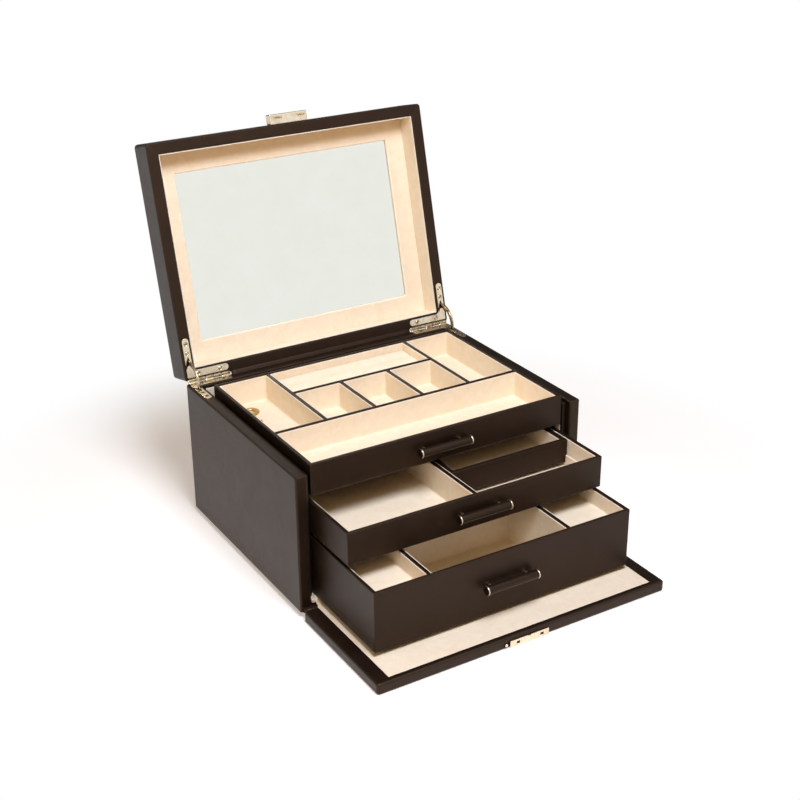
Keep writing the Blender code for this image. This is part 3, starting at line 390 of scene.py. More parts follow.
def skin(bm, loops, ring=False):
    # faces from loop to loop, and either closed ends or a ring
    if not ring:
        bm.faces.new(loops[0])
        bm.faces.new(loops[-1])
    for near, far in zip(loops, loops[1:] + (loops[:1] if ring else [])):
        for i in range(len(near)):
            j = (i + 1) % len(near)
            bm.faces.new((near[i], near[j], far[j], far[i]))


def loft(bm, corners, radii, stations, place=straight, ring=False):
    # skins the plan at each station (inset, height, edge mask for rubbed wear and painted highlight, exact
    # corner radius); a mask below 0 is a flat end
    layer = bm.verts.layers.float.get("wear") or bm.verts.layers.float.new("wear")
    loops = []
    for inset, height, wear, exact in stations:
        loop = []
        for x, y, bend in rounded(corners, radii, inset, exact):
            vert = bm.verts.new(place(x, y, height))
            vert[layer] = 0.0 if wear < 0 else wear if exact is not None else max(wear, bend)
            loop.append(vert)
        loops.append(loop)
    skin(bm, loops, ring)


def rectangle(low, high):
    return [(low[0], low[1]), (high[0], low[1]), (high[0], high[1]), (low[0], high[1])]


def boardStations(z0, z1, edge, topEdge=None):
    top = edge if topEdge is None else topEdge
    return ([(edge + hold, z0, -1, None)] + roll(edge, z0 + edge, edge, -90, 0)
            + [(0, z0 + edge + hold, 0, None), (0, z1 - top - hold, 0, None)]
            + roll(top, z1 - top, top, 0, 90) + [(top + hold, z1, -1, None)])


def boxStations(z0, z1, wall, floor, edge, rim, corner, fillet):
    # an open box: outside, over the rim, down the inside and across its floor
    return ([(edge + hold, z0, -1, None)] + roll(edge, z0 + edge, edge, -90, 0)
            + [(0, z0 + edge + hold, 0, None), (0, z1 - edge - hold, 0, None)]
            + roll(edge, z1 - edge, edge, 0, 90)
            + roll(wall - rim, z1 - rim, rim, 90, 180, corner)
            + [(wall, z1 - rim - hold, 0, corner), (wall, z0 + floor + fillet + hold, 0, corner)]
            + [(inset, height, 0, corner)
               for inset, height, *_ in roll(wall + fillet, z0 + floor + fillet, fillet, 0, -90, corner)]
            + [(wall + fillet + hold, z0 + floor, -1, corner)])


def addBoard(bm, low, high, edge, topEdge=None, corner=None, place=straight):
    loft(bm, rectangle(low, high), [edge if corner is None else corner] * 4,
         boardStations(low[2], high[2], edge, topEdge), place)


def addRounded(bm, corners, radii, z0, z1, edge, place=straight):
    # a plate of any plan with softened edges
    flat = edge + hold / 4
    loft(bm, corners, radii, [(flat, z0, -1, None)] + roll(edge, z0 + edge, edge, -90, 0, None, 2)
         + roll(edge, z1 - edge, edge, 0, 90, None, 2) + [(flat, z1, -1, None)], place)


def addPrism(bm, corners, z0, z1, place=straight):
    skin(bm, [[bm.verts.new(place(x, y, z)) for x, y in corners] for z in (z0, z1)])


def addTurned(bm, profile, place, sides=32, ring=False):
    # turns (radius, distance) points about an axis; place takes two square distances and one along the axis
    angles = [2 * math.pi * k / sides for k in range(sides)]
    loops = [[bm.verts.new(place(radius * math.cos(a), radius * math.sin(a), distance)) for a in angles]
             for radius, distance in profile]
    skin(bm, loops, ring)


def smoothPath(points, steps=5):
    # a smooth curve through the points
    points = [Vector(point) for point in points]
    ends = [points[0] * 2 - points[1], *points, points[-1] * 2 - points[-2]]
    made = []
    for a, b, c, d in zip(ends, ends[1:], ends[2:], ends[3:]):
        for k in range(steps):
            t = k / steps
            made.append(0.5 * (2 * b + (c - a) * t + (2 * a - 5 * b + 4 * c - d) * t * t
                               + (3 * b - a - 3 * c + d) * t * t * t))
    return made + [points[-1]]


def addSheet(bm, path, x0, x1, thickness, columns, wrinkle):
    # a strip of cloth along X that follows a path of (y, z) points; wrinkle(x, share) lifts it off the path
    sides = []
    for half in (thickness / 2, -thickness / 2):
        rows = []
        for i in range(columns + 1):
            x = x0 + (x1 - x0) * i / columns
            row = []
            for k, point in enumerate(path):
                along = (path[min(k + 1, len(path) - 1)] - path[max(k - 1, 0)]).normalized()
                spot = point + Vector((-along.y, along.x)) * (half + wrinkle(x, k / (len(path) - 1)))
                row.append(bm.verts.new((x, spot.x, spot.y)))
            rows.append(row)
        sides.append(rows)
    for rows in sides:
        for near, far in zip(rows, rows[1:]):
            for k in range(len(path) - 1):
                bm.faces.new((near[k], near[k + 1], far[k + 1], far[k]))
    upper, lower = sides
    rims = [([row[end] for row in upper], [row[end] for row in lower]) for end in (0, -1)]
    rims += [(upper[0], lower[0]), (upper[-1], lower[-1])]
    for top, under in rims:
        for i in range(len(top) - 1):
            bm.faces.new((top[i], top[i + 1], under[i + 1], under[i]))


def newObject(name, bm):
    bmesh.ops.recalc_face_normals(bm, faces=bm.faces)
    mesh = bpy.data.meshes.new(name)
    bm.to_mesh(mesh)
    bm.free()
    item = bpy.data.objects.new(name, mesh)
    bpy.context.scene.collection.objects.link(item)
    return item


def bakeModifiers(item):
    graph = bpy.context.evaluated_depsgraph_get()
    graph.update()
    mesh = bpy.data.meshes.new_from_object(item.evaluated_get(graph))
    old = item.data
    item.modifiers.clear()
    item.data = mesh
    bpy.data.meshes.remove(old)


def carve(item, cutters):
    made = []
    for bm in cutters:
        cutter = newObject(item.name + "_cutter", bm)
        modifier = item.modifiers.new("cut", "BOOLEAN")
        modifier.operation, modifier.solver, modifier.object = "DIFFERENCE", "EXACT", cutter
        made.append(cutter)
    bakeModifiers(item)
    for cutter in made:
        bpy.data.objects.remove(cutter)


def makePiece(name, bm, finish, body, replaced=(), cutters=(), sharp=38):
    item = newObject(name, bm)
    item.data.materials.append(finishes[finish])
    if cutters:
        carve(item, cutters)
    item.data.shade_smooth()
    item.data.set_sharp_from_angle(angle=math.radians(sharp))
    normals = item.modifiers.new("faceNormals", "WEIGHTED_NORMAL")      # keeps the broad faces flat
    normals.keep_sharp, normals.weight = True, 60
    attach(item, body)
    if replaced:
        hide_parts(*replaced)


def boxPiece(name, node, finish, body, edge, play=0.0):
    # a board with rounded edges in the place of one CAD board
    low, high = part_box(node)
    bm = bmesh.new()
    addBoard(bm, low + Vector((play,) * 3), high - Vector((play,) * 3), edge)
    makePiece(name, bm, finish, body, [node])


def prismCutter(corners, z0, z1, place=straight):
    bm = bmesh.new()
    addPrism(bm, corners, z0, z1, place)
    return bm


def turnedCutter(profile, place, sides=24):
    bm = bmesh.new()
    addTurned(bm, profile, place, sides)
    return bm


# Shared places, in metres

halfWidth = 0.1335
hingeLine = (0.0, 0.1012, 0.1259)      # axis of the lid
lidOpen = math.radians(104.1)
lidTurn = Matrix.Translation(hingeLine) @ Matrix.Rotation(-lidOpen, 4, "X")
wallTop = 0.1238
cutOver = 0.002      # how far a cutter stands out of what it cuts


def onCase(x, y, z):      # measured from the hinge line, the case stands upright
    return Vector((x, y, z)) + Vector(hingeLine)


def onLid(x, y, z):      # closed lid, measured from its hinge line, to where it stands open
    return lidTurn @ Vector((x, y, z))


def inLid(x, y, depth):      # the same, with depth from the lid's outer top downwards
    return onLid(x, y, lidLook["depth"] - depth)


def onSide(a, b, x):      # a plan of (y, z) points, thick along X
    return Vector((x, a, b))


def onFront(a, b, y):      # a plan of (x, z) points, thick along Y
    return Vector((a, y, b))


# Corner hinges. u runs inwards from the outer face of a side wall, v forward from the hinge line.

hingeLook = {
    "margin": 0.0023, "back": 0.0024, "width": 0.0060, "side": 0.0370, "rear": 0.0410, "thickness": 0.0010,
    "proud": 0.0004, "pocket": 0.00025, "pocketDeeper": 0.0002, "edge": 0.00025,
    "outerCorner": 0.0008, "innerCorner": 0.0040, "endCorner": 0.0028,
    # opening for the stay: an arch from its foot to its top, round a tongue at the corner
    "archHalf": 0.0034, "archFoot": 0.0126, "archTop": 0.0212,
    "tongue": (0.0027, 0.0054), "tongueLine": 0.0080,
    "tongueAngles": (0.35, 0.7, 1.1, 1.57, 2.04, 2.44, 2.79),      # radians
    "screws": ((0.0053, 0.0240), (0.0053, 0.0320), (0.0125, 0.0054), (0.0330, 0.0054)),
    "screwRadius": 0.0014, "screwLength": 0.0040, "screwShank": 0.0007, "screwRise": 0.00035,
    "screwPoint": 0.0002, "screwTaper": 0.001, "screwNeck": 0.0012,
    "screwSet": 0.0003, "screwTwist": 1.2,      # radians by which their slots may differ
    "crossWidth": 0.0005, "crossLength": 0.0019, "crossDepth": 0.0006,
    "sinkRadius": 0.0019, "sinkDepth": 0.0007, "sinkFoot": 0.0008, "sinkOver": 0.0002,
    "barrelRadius": 0.0018, "barrelStart": 0.0025, "barrelLength": 0.0382, "barrelEdge": 0.0003,
    "knuckles": 5, "knuckleGap": 0.0003, "lapOver": 0.0003, "wrap": 300, "wrapStart": 160,      # degrees
    # domed head of the pin: radius and rise over the barrel's end
    "pinHead": ((0.0002, 0.00085), (0.000825, 0.00075), (0.00135, 0.00045), (0.0015, 0.0002),
                (0.0015, 0.00005), (0.0007, 0.00002)),
}
stayLook = {"inner": 0.0140, "outer": 0.0180, "half": 0.0007, "edge": 0.0003,
            "start": -12.0, "end": 116.1, "steps": 48,      # degrees
            "mortise": (0.0136, 0.0184), "mortiseHalf": 0.0011, "mortiseSweep": 66, "mortiseSteps": 16}
legLine = halfWidth - hingeLook["margin"] - hingeLook["width"] / 2      # middle of a leaf's forward leg
hands = ((-1, "left"), (1, "right"))
# body, height of the rim above the hinge line, way the rim faces, first of its knuckles, place
hingeMembers = (("case", wallTop - hingeLine[2], 1, 0, onCase), ("lid", 0.0, -1, 1, onLid))


def leafPlan(side, grow=0.0):
    u0, u1 = hingeLook["margin"] - grow, hingeLook["margin"] + hingeLook["width"] + grow
    v0, v1 = hingeLook["back"] - grow, hingeLook["back"] + hingeLook["width"] + grow
    far, end = hingeLook["rear"] + grow, hingeLook["side"] + grow
    plan = [(u0, v0), (far, v0), (far, v1), (u1, v1), (u1, end), (u0, end)]
    points = [(side * (halfWidth - u), -v) for u, v in plan]
    endCorner = hingeLook["endCorner"]
    radii = [hingeLook["outerCorner"], endCorner, endCorner, hingeLook["innerCorner"], endCorner, endCorner]
    return (points, radii) if side > 0 else (points[::-1], radii[::-1])      # both anticlockwise


def hingeCutters(surface, up, toWorld):
    # pockets for the leaves and mortises for the stays, in the case's or in the lid's rim
    deep = hingeLook["thickness"] - hingeLook["proud"] + hingeLook["pocketDeeper"]
    low, high = sorted((surface - up * deep, surface + up * cutOver))
    sweep, steps = math.radians(stayLook["mortiseSweep"]), stayLook["mortiseSteps"]
    start, end = (0, sweep) if up < 0 else (-sweep, 0)
    angles = [start + (end - start) * k / steps for k in range(steps + 1)]
    near, far = ([(-radius * math.cos(a), radius * math.sin(a)) for a in angles]
                 for radius in stayLook["mortise"])
    made = []
    for side in (-1, 1):
        corners, radii = leafPlan(side, hingeLook["pocket"])
        made.append(prismCutter([point[:2] for point in rounded(corners, radii, 0.0)], low, high, toWorld))
        middle, half = side * legLine, stayLook["mortiseHalf"]
        made.append(prismCutter(near + far[::-1], middle - half, middle + half,
                                lambda a, b, x: toWorld(x, a, b)))
    return made


# Case

caseLook = {"edge": 0.0015, "outerCorner": 0.0022, "innerCorner": 0.0004, "wall": 0.010,
            "turnIn": 0.0030, "turnInGap": 0.0001, "turnInEdge": 0.0006, "liningEdge": 0.0004,
            "padEdge": 0.0008, "boardEdge": 0.0006, "shelfEdge": 0.0009}


def makeCase(look):
    low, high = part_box("left_wall")
    farLow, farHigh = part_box("right_wall")
    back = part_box("back_wall")[0].y
    x0, x1, y0, y1 = low.x, farHigh.x, low.y, high.y
    w = look["wall"]
    corners = [(x0, y0), (x0 + w, y0), (x0 + w, back), (x1 - w, back), (x1 - w, y0), (x1, y0),
               (x1, y1), (x0, y1)]
    e, r, i = look["edge"], look["outerCorner"], look["innerCorner"]
    radii = [e, e, i, i, e, e, r, r]
    bm = bmesh.new()
    loft(bm, corners, radii, boardStations(low.z, high.z, e))
    makePiece("caseWalls", bm, "leather", "case", ["left_wall", "right_wall", "back_wall"],
              hingeCutters(high.z - hingeLine[2], 1, onCase))
    for name, node, finish, edge in (("footPad", "foot_pad", "felt", look["padEdge"]),
                                     ("baseBoard", "base_board", "leather", look["boardEdge"]),
                                     ("lowerShelf", "lower_shelf", "leather", look["boardEdge"]),
                                     ("upperShelf", "upper_shelf", "leather", look["shelfEdge"]),
                                     ("backWallLining", "back_wall_lining", "suede", look["liningEdge"]),
                                     ("floorLining", "floor_lining", "suede", look["liningEdge"])):
        boxPiece(name, node, finish, "case", edge)
    # side walls inside: suede behind a leather turn-in at the front, and leather beside the top tray
    split, gap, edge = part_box("upper_shelf")[0].z + look["turnIn"], look["turnInGap"], look["turnInEdge"]
    for hand in ("left", "right"):
        node = hand + "_wall_lining"
        low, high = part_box(node)
        turnIn = low.y + look["turnIn"]
        bm = bmesh.new()
        addBoard(bm, (low.x, turnIn + gap, low.z), (high.x, high.y, split - gap), look["liningEdge"])
        makePiece(hand + "WallLining", bm, "suede", "case", [node])
        plan = [(low.y, low.z), (turnIn, low.z), (turnIn, split), (high.y, split), (high.y, high.z),
                (low.y, high.z)]
        bm = bmesh.new()
        addRounded(bm, plan, [edge] * len(plan), low.x, high.x, edge, onSide)
        makePiece(hand + "WallFacing", bm, "leather", "case", [node])


# Lid

lidLook = {"depth": 0.030, "rim": 0.010, "panel": 0.0042, "crown": 0.0035, "edge": 0.0012, "corner": 0.0030,
           "innerCorner": 0.0006, "frontY": -0.2027, "backY": 0.0003,
           "groove": 0.0021, "grooveEnds": (0.0009, 0.0423),      # clears the barrels of the hinges
           # heights below are above the rim of the closed lid
           "liningGap": 0.0003, "liningWall": 0.0008, "liningFrom": 0.0008, "liningTo": 0.0204,
           "liningCorner": 0.0005, "frameFrom": 0.0207, "frameTo": 0.0227, "frameInner": 0.0289,
           "frameRoll": 0.0012, "frameEdge": 0.0005, "frameCorner": 0.0016, "frameFlat": 0.002,
           "mirrorFrom": 0.0230, "mirrorTo": 0.0255, "mirrorUnder": 0.0030, "mirrorEdge": 0.0004,
           "mirrorCorner": 0.003}


def makeLid(look):
    low, high = (-halfWidth, look["frontY"]), (halfWidth, look["backY"])
    depth, rim, panel, e, inside = (look[key] for key in ("depth", "rim", "panel", "edge", "innerCorner"))
    crown = look["crown"]
    stations = ([(crown + hold, 0, -1, None)] + roll(crown, crown, crown, -90, 0, None, 6)
                + [(0, crown + hold, 0, None), (0, depth - e - hold, 0, None)] + roll(e, depth - e, e, 0, 90)
                + roll(rim - e, depth - e, e, 90, 180, inside)
                + [(rim, depth - e - hold, 0, inside), (rim, panel + hold, 0, inside),
                   (rim, panel, 0, inside), (rim + hold, panel, -1, inside)])
    bm = bmesh.new()
    loft(bm, rectangle(low, high), [look["corner"]] * 4, stations, inLid)
    cutters = hingeCutters(0.0, -1, onLid)
    for side in (-1, 1):
        groove = [(look["groove"], side * (halfWidth - end)) for end in look["grooveEnds"]]
        cutters.append(turnedCutter(groove, lambda a, b, x: onLid(x, a, b)))
    makePiece("lidShell", bm, "leather", "lid", ["lid_shell"], cutters)
    # suede round the inside of the lid
    inner, corner = rim + look["liningGap"], look["liningCorner"]
    wall, start, end = look["liningWall"], look["liningFrom"], look["liningTo"]
    plan = rectangle((low[0] + inner, low[1] + inner), (high[0] - inner, high[1] - inner))
    bm = bmesh.new()
    loft(bm, plan, [corner] * 4, [(0, end, 0, None), (0, start + wall, 0, None)]
         + roll(wall / 2, start + wall / 2, wall / 2, 0, -180)
         + [(wall, start + wall, 0, corner), (wall, end, 0, corner)], onLid, ring=True)
    makePiece("lidLining", bm, "suede", "lid", ["lid_lining"])
    # padded frame round the mirror, with a soft roll towards the glass; the roll's middle is painted lighter,
    # a painted highlight
    start, end, margin = look["frameFrom"], look["frameTo"], look["frameInner"] - inner
    soft, edge, inside, flat = (look["frame" + key] for key in ("Roll", "Edge", "Corner", "Flat"))
    bm = bmesh.new()
    loft(bm, plan, [corner] * 4, [(0, end, 0, None), (0, start + edge + least, 0, None)]
         + roll(edge, start + edge, edge, 0, -90)
         + [(flat, start, -1, None), (margin - flat, start, -1, inside)]
         + [(margin - soft + soft * math.sin(a), start + soft - soft * math.cos(a), math.sin(a * 2) * 0.6,
             inside) for a in (0.0, 0.39, 0.785, 1.18, 1.5708)]
         + [(margin, end, 0, inside)], onLid, ring=True)
    makePiece("mirrorFrame", bm, "suede", "lid", ["mirror_frame"])
    inset = look["frameInner"] - look["mirrorUnder"]
    bm = bmesh.new()
    addBoard(bm, (low[0] + inset, low[1] + inset, look["mirrorFrom"]),
             (high[0] - inset, high[1] - inset, look["mirrorTo"]),
             look["mirrorEdge"], corner=look["mirrorCorner"], place=onLid)
    makePiece("mirrorGlass", bm, "mirror_glass", "lid", ["mirror"])


# Tiers

tierLook = {"wall": 0.0030, "floor": 0.0025, "edge": 0.0009, "rim": 0.0008,
            "skin": 0.0008, "skinFloor": 0.0008, "skinGap": 0.0002, "drop": 0.0010, "fillet": 0.0010,
            "bareCorner": 0.0003, "skinCorner": 0.0012, "skinInner": 0.0008,
            "divider": 0.0030, "dividerDrop": 0.0002, "dividerEdge": 0.0003, "dividerTop": 0.0011,
            # top tray: its rows, measured from its front, and its columns from the middle
            "frontRow": 0.0642, "backRow": 0.1249, "column": 0.0688, "square": 0.02293,
            "middleDivider": -0.0030, "ledgeEdge": 0.0004,      # middle drawer
            "leftDivider": -0.0690, "rightDivider": 0.0600, "crossDivider": 0.0840,      # bottom drawer
            "shallow": 0.0146}
innerTrayLook = {"wall": 0.0042, "floor": 0.0024, "edge": 0.0007, "corner": 0.0006, "innerCorner": 0.0004}


def makeTierBox(name, node, look):
    # the open box of a tier; returns its inside, the top of its floor and that of its walls
    low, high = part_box(node + "_box")
    bm = bmesh.new()
    loft(bm, rectangle(low, high), [look["edge"]] * 4,
         boxStations(low.z, high.z, look["wall"], look["floor"], look["edge"], look["rim"],
                     look["bareCorner"], look["bareCorner"]))
    makePiece(name + "Box", bm, "leather", node, [node + "_box"])
    w = look["wall"]
    return low.x + w, high.x - w, low.y + w, high.y - w, low.z + look["floor"], high.z


def addCup(bm, x0, x1, y0, y1, z0, z1, look):
    g, skin = look["skinGap"], look["skin"]
    loft(bm, rectangle((x0 + g, y0 + g), (x1 - g, y1 - g)), [look["skinCorner"]] * 4,
         boxStations(z0 + g, z1 - look["drop"], skin, look["skinFloor"], skin / 2, skin / 2,
                     look["skinInner"], look["fillet"]))


def makeLinings(name, nodes, body, cells, z0, z1, look):
    # one suede cup in each cell
    bm = bmesh.new()
    for x0, x1, y0, y1 in cells:
        addCup(bm, x0, x1, y0, y1, z0, z1, look)
    makePiece(name, bm, "suede", body, nodes)


def makeDividers(name, nodes, body, strips, z0, z1, look):
    # leather-covered boards; strips are (x0, y0, x1, y1) of each one's plan
    bm = bmesh.new()
    for x0, y0, x1, y1 in strips:
        addBoard(bm, (x0, y0, z0), (x1, y1, z1 - look["dividerDrop"]), look["dividerEdge"],
                 look["dividerTop"])
    makePiece(name, bm, "leather", body, nodes)


def makeTray(look):
    x0, x1, y0, y1, floor, top = makeTierBox("topTray", "top_tray", look)
    h, column, square = look["divider"] / 2, look["column"], look["square"]
    front, back = y0 - look["wall"] + look["frontRow"], y0 - look["wall"] + look["backRow"]
    cells = [(x0, x1, y0, front - h), (x0, -column - h, front + h, y1), (column + h, x1, front + h, y1),
             (-column + h, column - h, back + h, y1), (-column + h, -square - h, front + h, back - h),
             (-square + h, square - h, front + h, back - h), (square + h, column - h, front + h, back - h)]
    makeLinings("topTrayLining", ["top_tray_lining"], "top_tray", cells, floor, top, look)
    strips = [(x0, front - h, x1, front + h), (-column, back - h, column, back + h),
              (-column - h, front, -column + h, y1), (column - h, front, column + h, y1),
              (-square - h, front, -square + h, back), (square - h, front, square + h, back)]
    makeDividers("topTrayDividers", ["top_tray_dividers"], "top_tray", strips, floor, top, look)


def makeMiddle(look, inner):
    x0, x1, y0, y1, floor, top = makeTierBox("middleDrawer", "middle_drawer", look)
    h, middle = look["divider"] / 2, look["middleDivider"]
    makeLinings("middleDrawerLining", ["middle_drawer_lining"], "middle_drawer",
                [(x0, middle - h, y0, y1), (middle + h, x1, y0, y1)], floor, top, look)
    makeDividers("middleDrawerDivider", ["middle_drawer_divider"], "middle_drawer",
                 [(middle - h, y0, middle + h, y1)], floor, top, look)
    boxPiece("leftTrayLedge", "left_tray_ledge", "suede", "middle_drawer", look["ledgeEdge"])
    boxPiece("rightTrayLedge", "right_tray_ledge", "suede", "middle_drawer", look["ledgeEdge"])
    # inner sliding tray
    low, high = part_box("inner_tray_box")
    w, floor, edge, corner = inner["wall"], inner["floor"], inner["edge"], inner["innerCorner"]
    bm = bmesh.new()
    loft(bm, rectangle(low, high), [inner["corner"]] * 4,
         boxStations(low.z, high.z, w, floor, edge, edge, corner, corner))
    makePiece("innerTrayBox", bm, "leather", "inner_tray", ["inner_tray_box"])
    makeLinings("innerTrayLining", ["inner_tray_lining"], "inner_tray",
                [(low.x + w, high.x - w, low.y + w, high.y - w)], low.z + floor, high.z, look)


def makeBottom(look):
    x0, x1, y0, y1, floor, top = makeTierBox("bottomDrawer", "bottom_drawer", look)
    h, left, right = look["divider"] / 2, look["leftDivider"], look["rightDivider"]
    cross, shallow = y0 - look["wall"] + look["crossDivider"], top - look["shallow"] - look["skinFloor"]
    makeLinings("bottomDrawerLining", ["bottom_drawer_lining"], "bottom_drawer",
                [(left + h, right - h, y0, cross - h), (left + h, right - h, cross + h, y1)],
                floor, top, look)
    makeLinings("shallowLinings", ["left_raised_floor", "right_raised_floor"], "bottom_drawer",
                [(x0, left - h, y0, y1), (right + h, x1, y0, y1)], shallow, top, look)
    makeDividers("bottomDrawerDividers",
                 ["left_bottom_divider", "right_bottom_divider", "cross_bottom_divider"], "bottom_drawer",
                 [(left - h, y0, left + h, y1), (right - h, y0, right + h, y1),
                  (left, cross - h, right, cross + h)], floor, top, look)


# Flap

flapLook = {"edge": 0.0018, "corner": 0.0025, "liningEdge": 0.0005, "liningProud": 0.0004,
            "recessGap": 0.0003, "holeHalf": 0.0015, "holeReach": 0.0060, "knobRecess": 0.0010}


def makeFlap(look):
    low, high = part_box("flap_board")
    bm = bmesh.new()
    addBoard(bm, low, high, look["edge"], corner=look["corner"])
    plateLow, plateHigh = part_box("lock_front_plate")
    edgeLow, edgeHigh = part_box("lock_edge_plate")
    knobLow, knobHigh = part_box("release_knob")
    gap, half, level = look["recessGap"], look["holeHalf"], (edgeLow.z + edgeHigh.z) / 2
    # holes for the hooks, a recess for the knob and a bed for the front plate
    spots = [(x - half, x + half, level - half, level + half, look["holeReach"])
             for x in (shift * lockLook["hooks"] + lockLook["hookShift"] for shift in (-1, 1))]
    spots.append((knobLow.x - gap, edgeLow.x, knobLow.z - gap, knobHigh.z + gap, look["knobRecess"]))
    cutters = [prismCutter(rectangle((x0, z0), (x1, z1)), low.y - cutOver / 2, low.y + deep, onFront)
               for x0, x1, z0, z1, deep in spots]
    bed = rectangle((plateLow.x - gap, plateLow.y - gap), (plateHigh.x + gap, plateHigh.y + gap))
    cutters.append(prismCutter(bed, low.z - cutOver / 2, plateHigh.z + gap))
    makePiece("flapBoard", bm, "leather", "flap", ["flap_board"], cutters)
    low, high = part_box("flap_lining")
    bm = bmesh.new()
    addBoard(bm, low, high + Vector((0, 0, look["liningProud"])), look["liningEdge"])
    makePiece("flapLining", bm, "suede", "flap", ["flap_lining"])


# Hinge metal

def makeLeaves(look):
    inset = look["margin"] + look["width"] / 2
    half, foot, top = look["archHalf"], look["archFoot"], look["archTop"]
    arch = [(inset - half, foot), (inset, top), (inset + half, foot)]
    across, along = look["tongue"]
    tongue = [(inset + across * math.cos(a), look["tongueLine"] + along * math.sin(a))
              for a in look["tongueAngles"]]
    for side, hand in hands:
        for member, surface, up, _, place in hingeMembers:
            corners, radii = leafPlan(side)
            outer = surface + up * look["proud"]
            low, high = sorted((outer, outer - up * look["thickness"]))
            bm = bmesh.new()
            addRounded(bm, corners, radii, low, high, look["edge"], place)
            cutters = [prismCutter([(side * (halfWidth - u), -v) for u, v in arch + tongue],
                                   low - cutOver / 2, high + cutOver / 2, place)]
            for u, v in look["screws"]:
                sink = [(look["sinkRadius"], outer + up * look["sinkOver"]),
                        (look["sinkRadius"], outer - up * look["sinkDepth"]),
                        (look["sinkFoot"], outer - up * (look["thickness"] + look["sinkOver"]))]
                x = side * (halfWidth - u)
                cutters.append(turnedCutter(sink, lambda a, b, c: place(x + a, b - v, c)))
            makePiece(hand + member.capitalize() + "Leaf", bm, "nickel", member,
                      [hand + "_" + member + "_leaf"], cutters)


def repeatTree(name, finish):
    # puts one copy of a template on every point of a carrier mesh, each turned about its own axis
    tree = bpy.data.node_groups.new(name, "GeometryNodeTree")
    for socket, kind in (("Points", "Geometry"), ("Template", "Object"), ("Size", "Float"),
                         ("Flip", "Float"), ("Twist", "Float"), ("Seed", "Int")):
        tree.interface.new_socket(socket, in_out="INPUT", socket_type="NodeSocket" + kind)
    tree.interface.new_socket("Mesh", in_out="OUTPUT", socket_type="NodeSocketGeometry")
    given = addNode(tree, "NodeGroupInput").outputs
    part = addNode(tree, "GeometryNodeObjectInfo", {"Object": given["Template"]}).outputs["Geometry"]
    back = combine(tree, given["Twist"], -1.0, "MULTIPLY")
    spin = addNode(tree, "FunctionNodeRandomValue", {2: back, 3: given["Twist"], "Seed": given["Seed"]},
                   data_type="FLOAT").outputs[1]
    turn = addNode(tree, "ShaderNodeCombineXYZ", {"X": given["Flip"], "Z": spin}).outputs[0]
    copies = addNode(tree, "GeometryNodeInstanceOnPoints", {
        "Points": given["Points"], "Instance": part, "Rotation": turn, "Scale": given["Size"]}).outputs[0]
    real = addNode(tree, "GeometryNodeRealizeInstances", {"Geometry": copies}).outputs[0]
    done = addNode(tree, "GeometryNodeSetMaterial", {
        "Geometry": real, "Material": finishes[finish]}).outputs[0]
    addNode(tree, "NodeGroupOutput", {"Mesh": done})
    return tree


def repeatOn(points, template, tree, settings):
    # bakes the tree's copies to a bmesh
    mesh = bpy.data.meshes.new("carrier")
    mesh.from_pydata(points, [], [])
    carrier = bpy.data.objects.new("carrier", mesh)
    bpy.context.scene.collection.objects.link(carrier)
    modifier = carrier.modifiers.new("copies", "NODES")
    modifier.node_group = tree
    sockets = {item.name: item.identifier for item in tree.interface.items_tree if item.in_out == "INPUT"}
    for name, value in {"Template": template, **settings}.items():
        modifier[sockets[name]] = value
    graph = bpy.context.evaluated_depsgraph_get()
    graph.update()
    baked = bpy.data.meshes.new_from_object(carrier.evaluated_get(graph))
    bm = bmesh.new()
    bm.from_mesh(baked)
    bpy.data.meshes.remove(baked)
    bpy.data.objects.remove(carrier)
    return bm


def screwTemplate(look):
    # countersunk screw with a cross recess; its head is at the origin and faces +Z
    r, rise, shank, length = (look["screw" + key] for key in ("Radius", "Rise", "Shank", "Length"))
    wide, long = look["crossWidth"], look["crossLength"]
    bm = bmesh.new()
    point, taper, neck = (look["screw" + key] for key in ("Point", "Taper", "Neck"))
    profile = [(point, -length), (shank, taper - length), (shank, -neck),
               (r, -least), (r, 0.0), (r * 0.8, rise * 0.6), (r * 0.45, rise), (least / 2, rise * 1.1)]
    addTurned(bm, profile, straight, 20)
    item = newObject("screwTemplate", bm)
    carve(item, [prismCutter(rectangle((-x / 2, -y / 2), (x / 2, y / 2)), rise - look["crossDepth"], cutOver)
                 for x, y in ((wide, long), (long, wide))])
    return item


def knucklePitch(look):
    return (look["barrelLength"] + look["knuckleGap"]) / look["knuckles"]


def knuckleTemplate(look, surface, up):
    # one knuckle along X with the lap that joins it to its leaf; about the hinge line
    outer = surface + up * look["proud"]
    lap, root = -look["back"] - look["lapOver"], outer - up * look["thickness"]
    radius, edge, start = look["barrelRadius"], look["barrelEdge"], look["wrapStart"]
    arcStart = math.radians(360 - start if up > 0 else start)
    angles = [arcStart - up * math.radians(look["wrap"]) * k / 20 for k in range(21)]
    section = [(lap, root), (lap, outer)] + [(radius * math.cos(a), radius * math.sin(a)) for a in angles]
    half, drawn = (knucklePitch(look) - look["knuckleGap"]) / 2, 1 - edge / radius
    bm = bmesh.new()
    skin(bm, [[bm.verts.new((x, a * shrink, b * shrink)) for a, b in section]
              for x, shrink in ((-half, drawn), (-half + edge, 1), (half - edge, 1), (half, drawn))])
    return newObject("knuckleTemplate", bm)


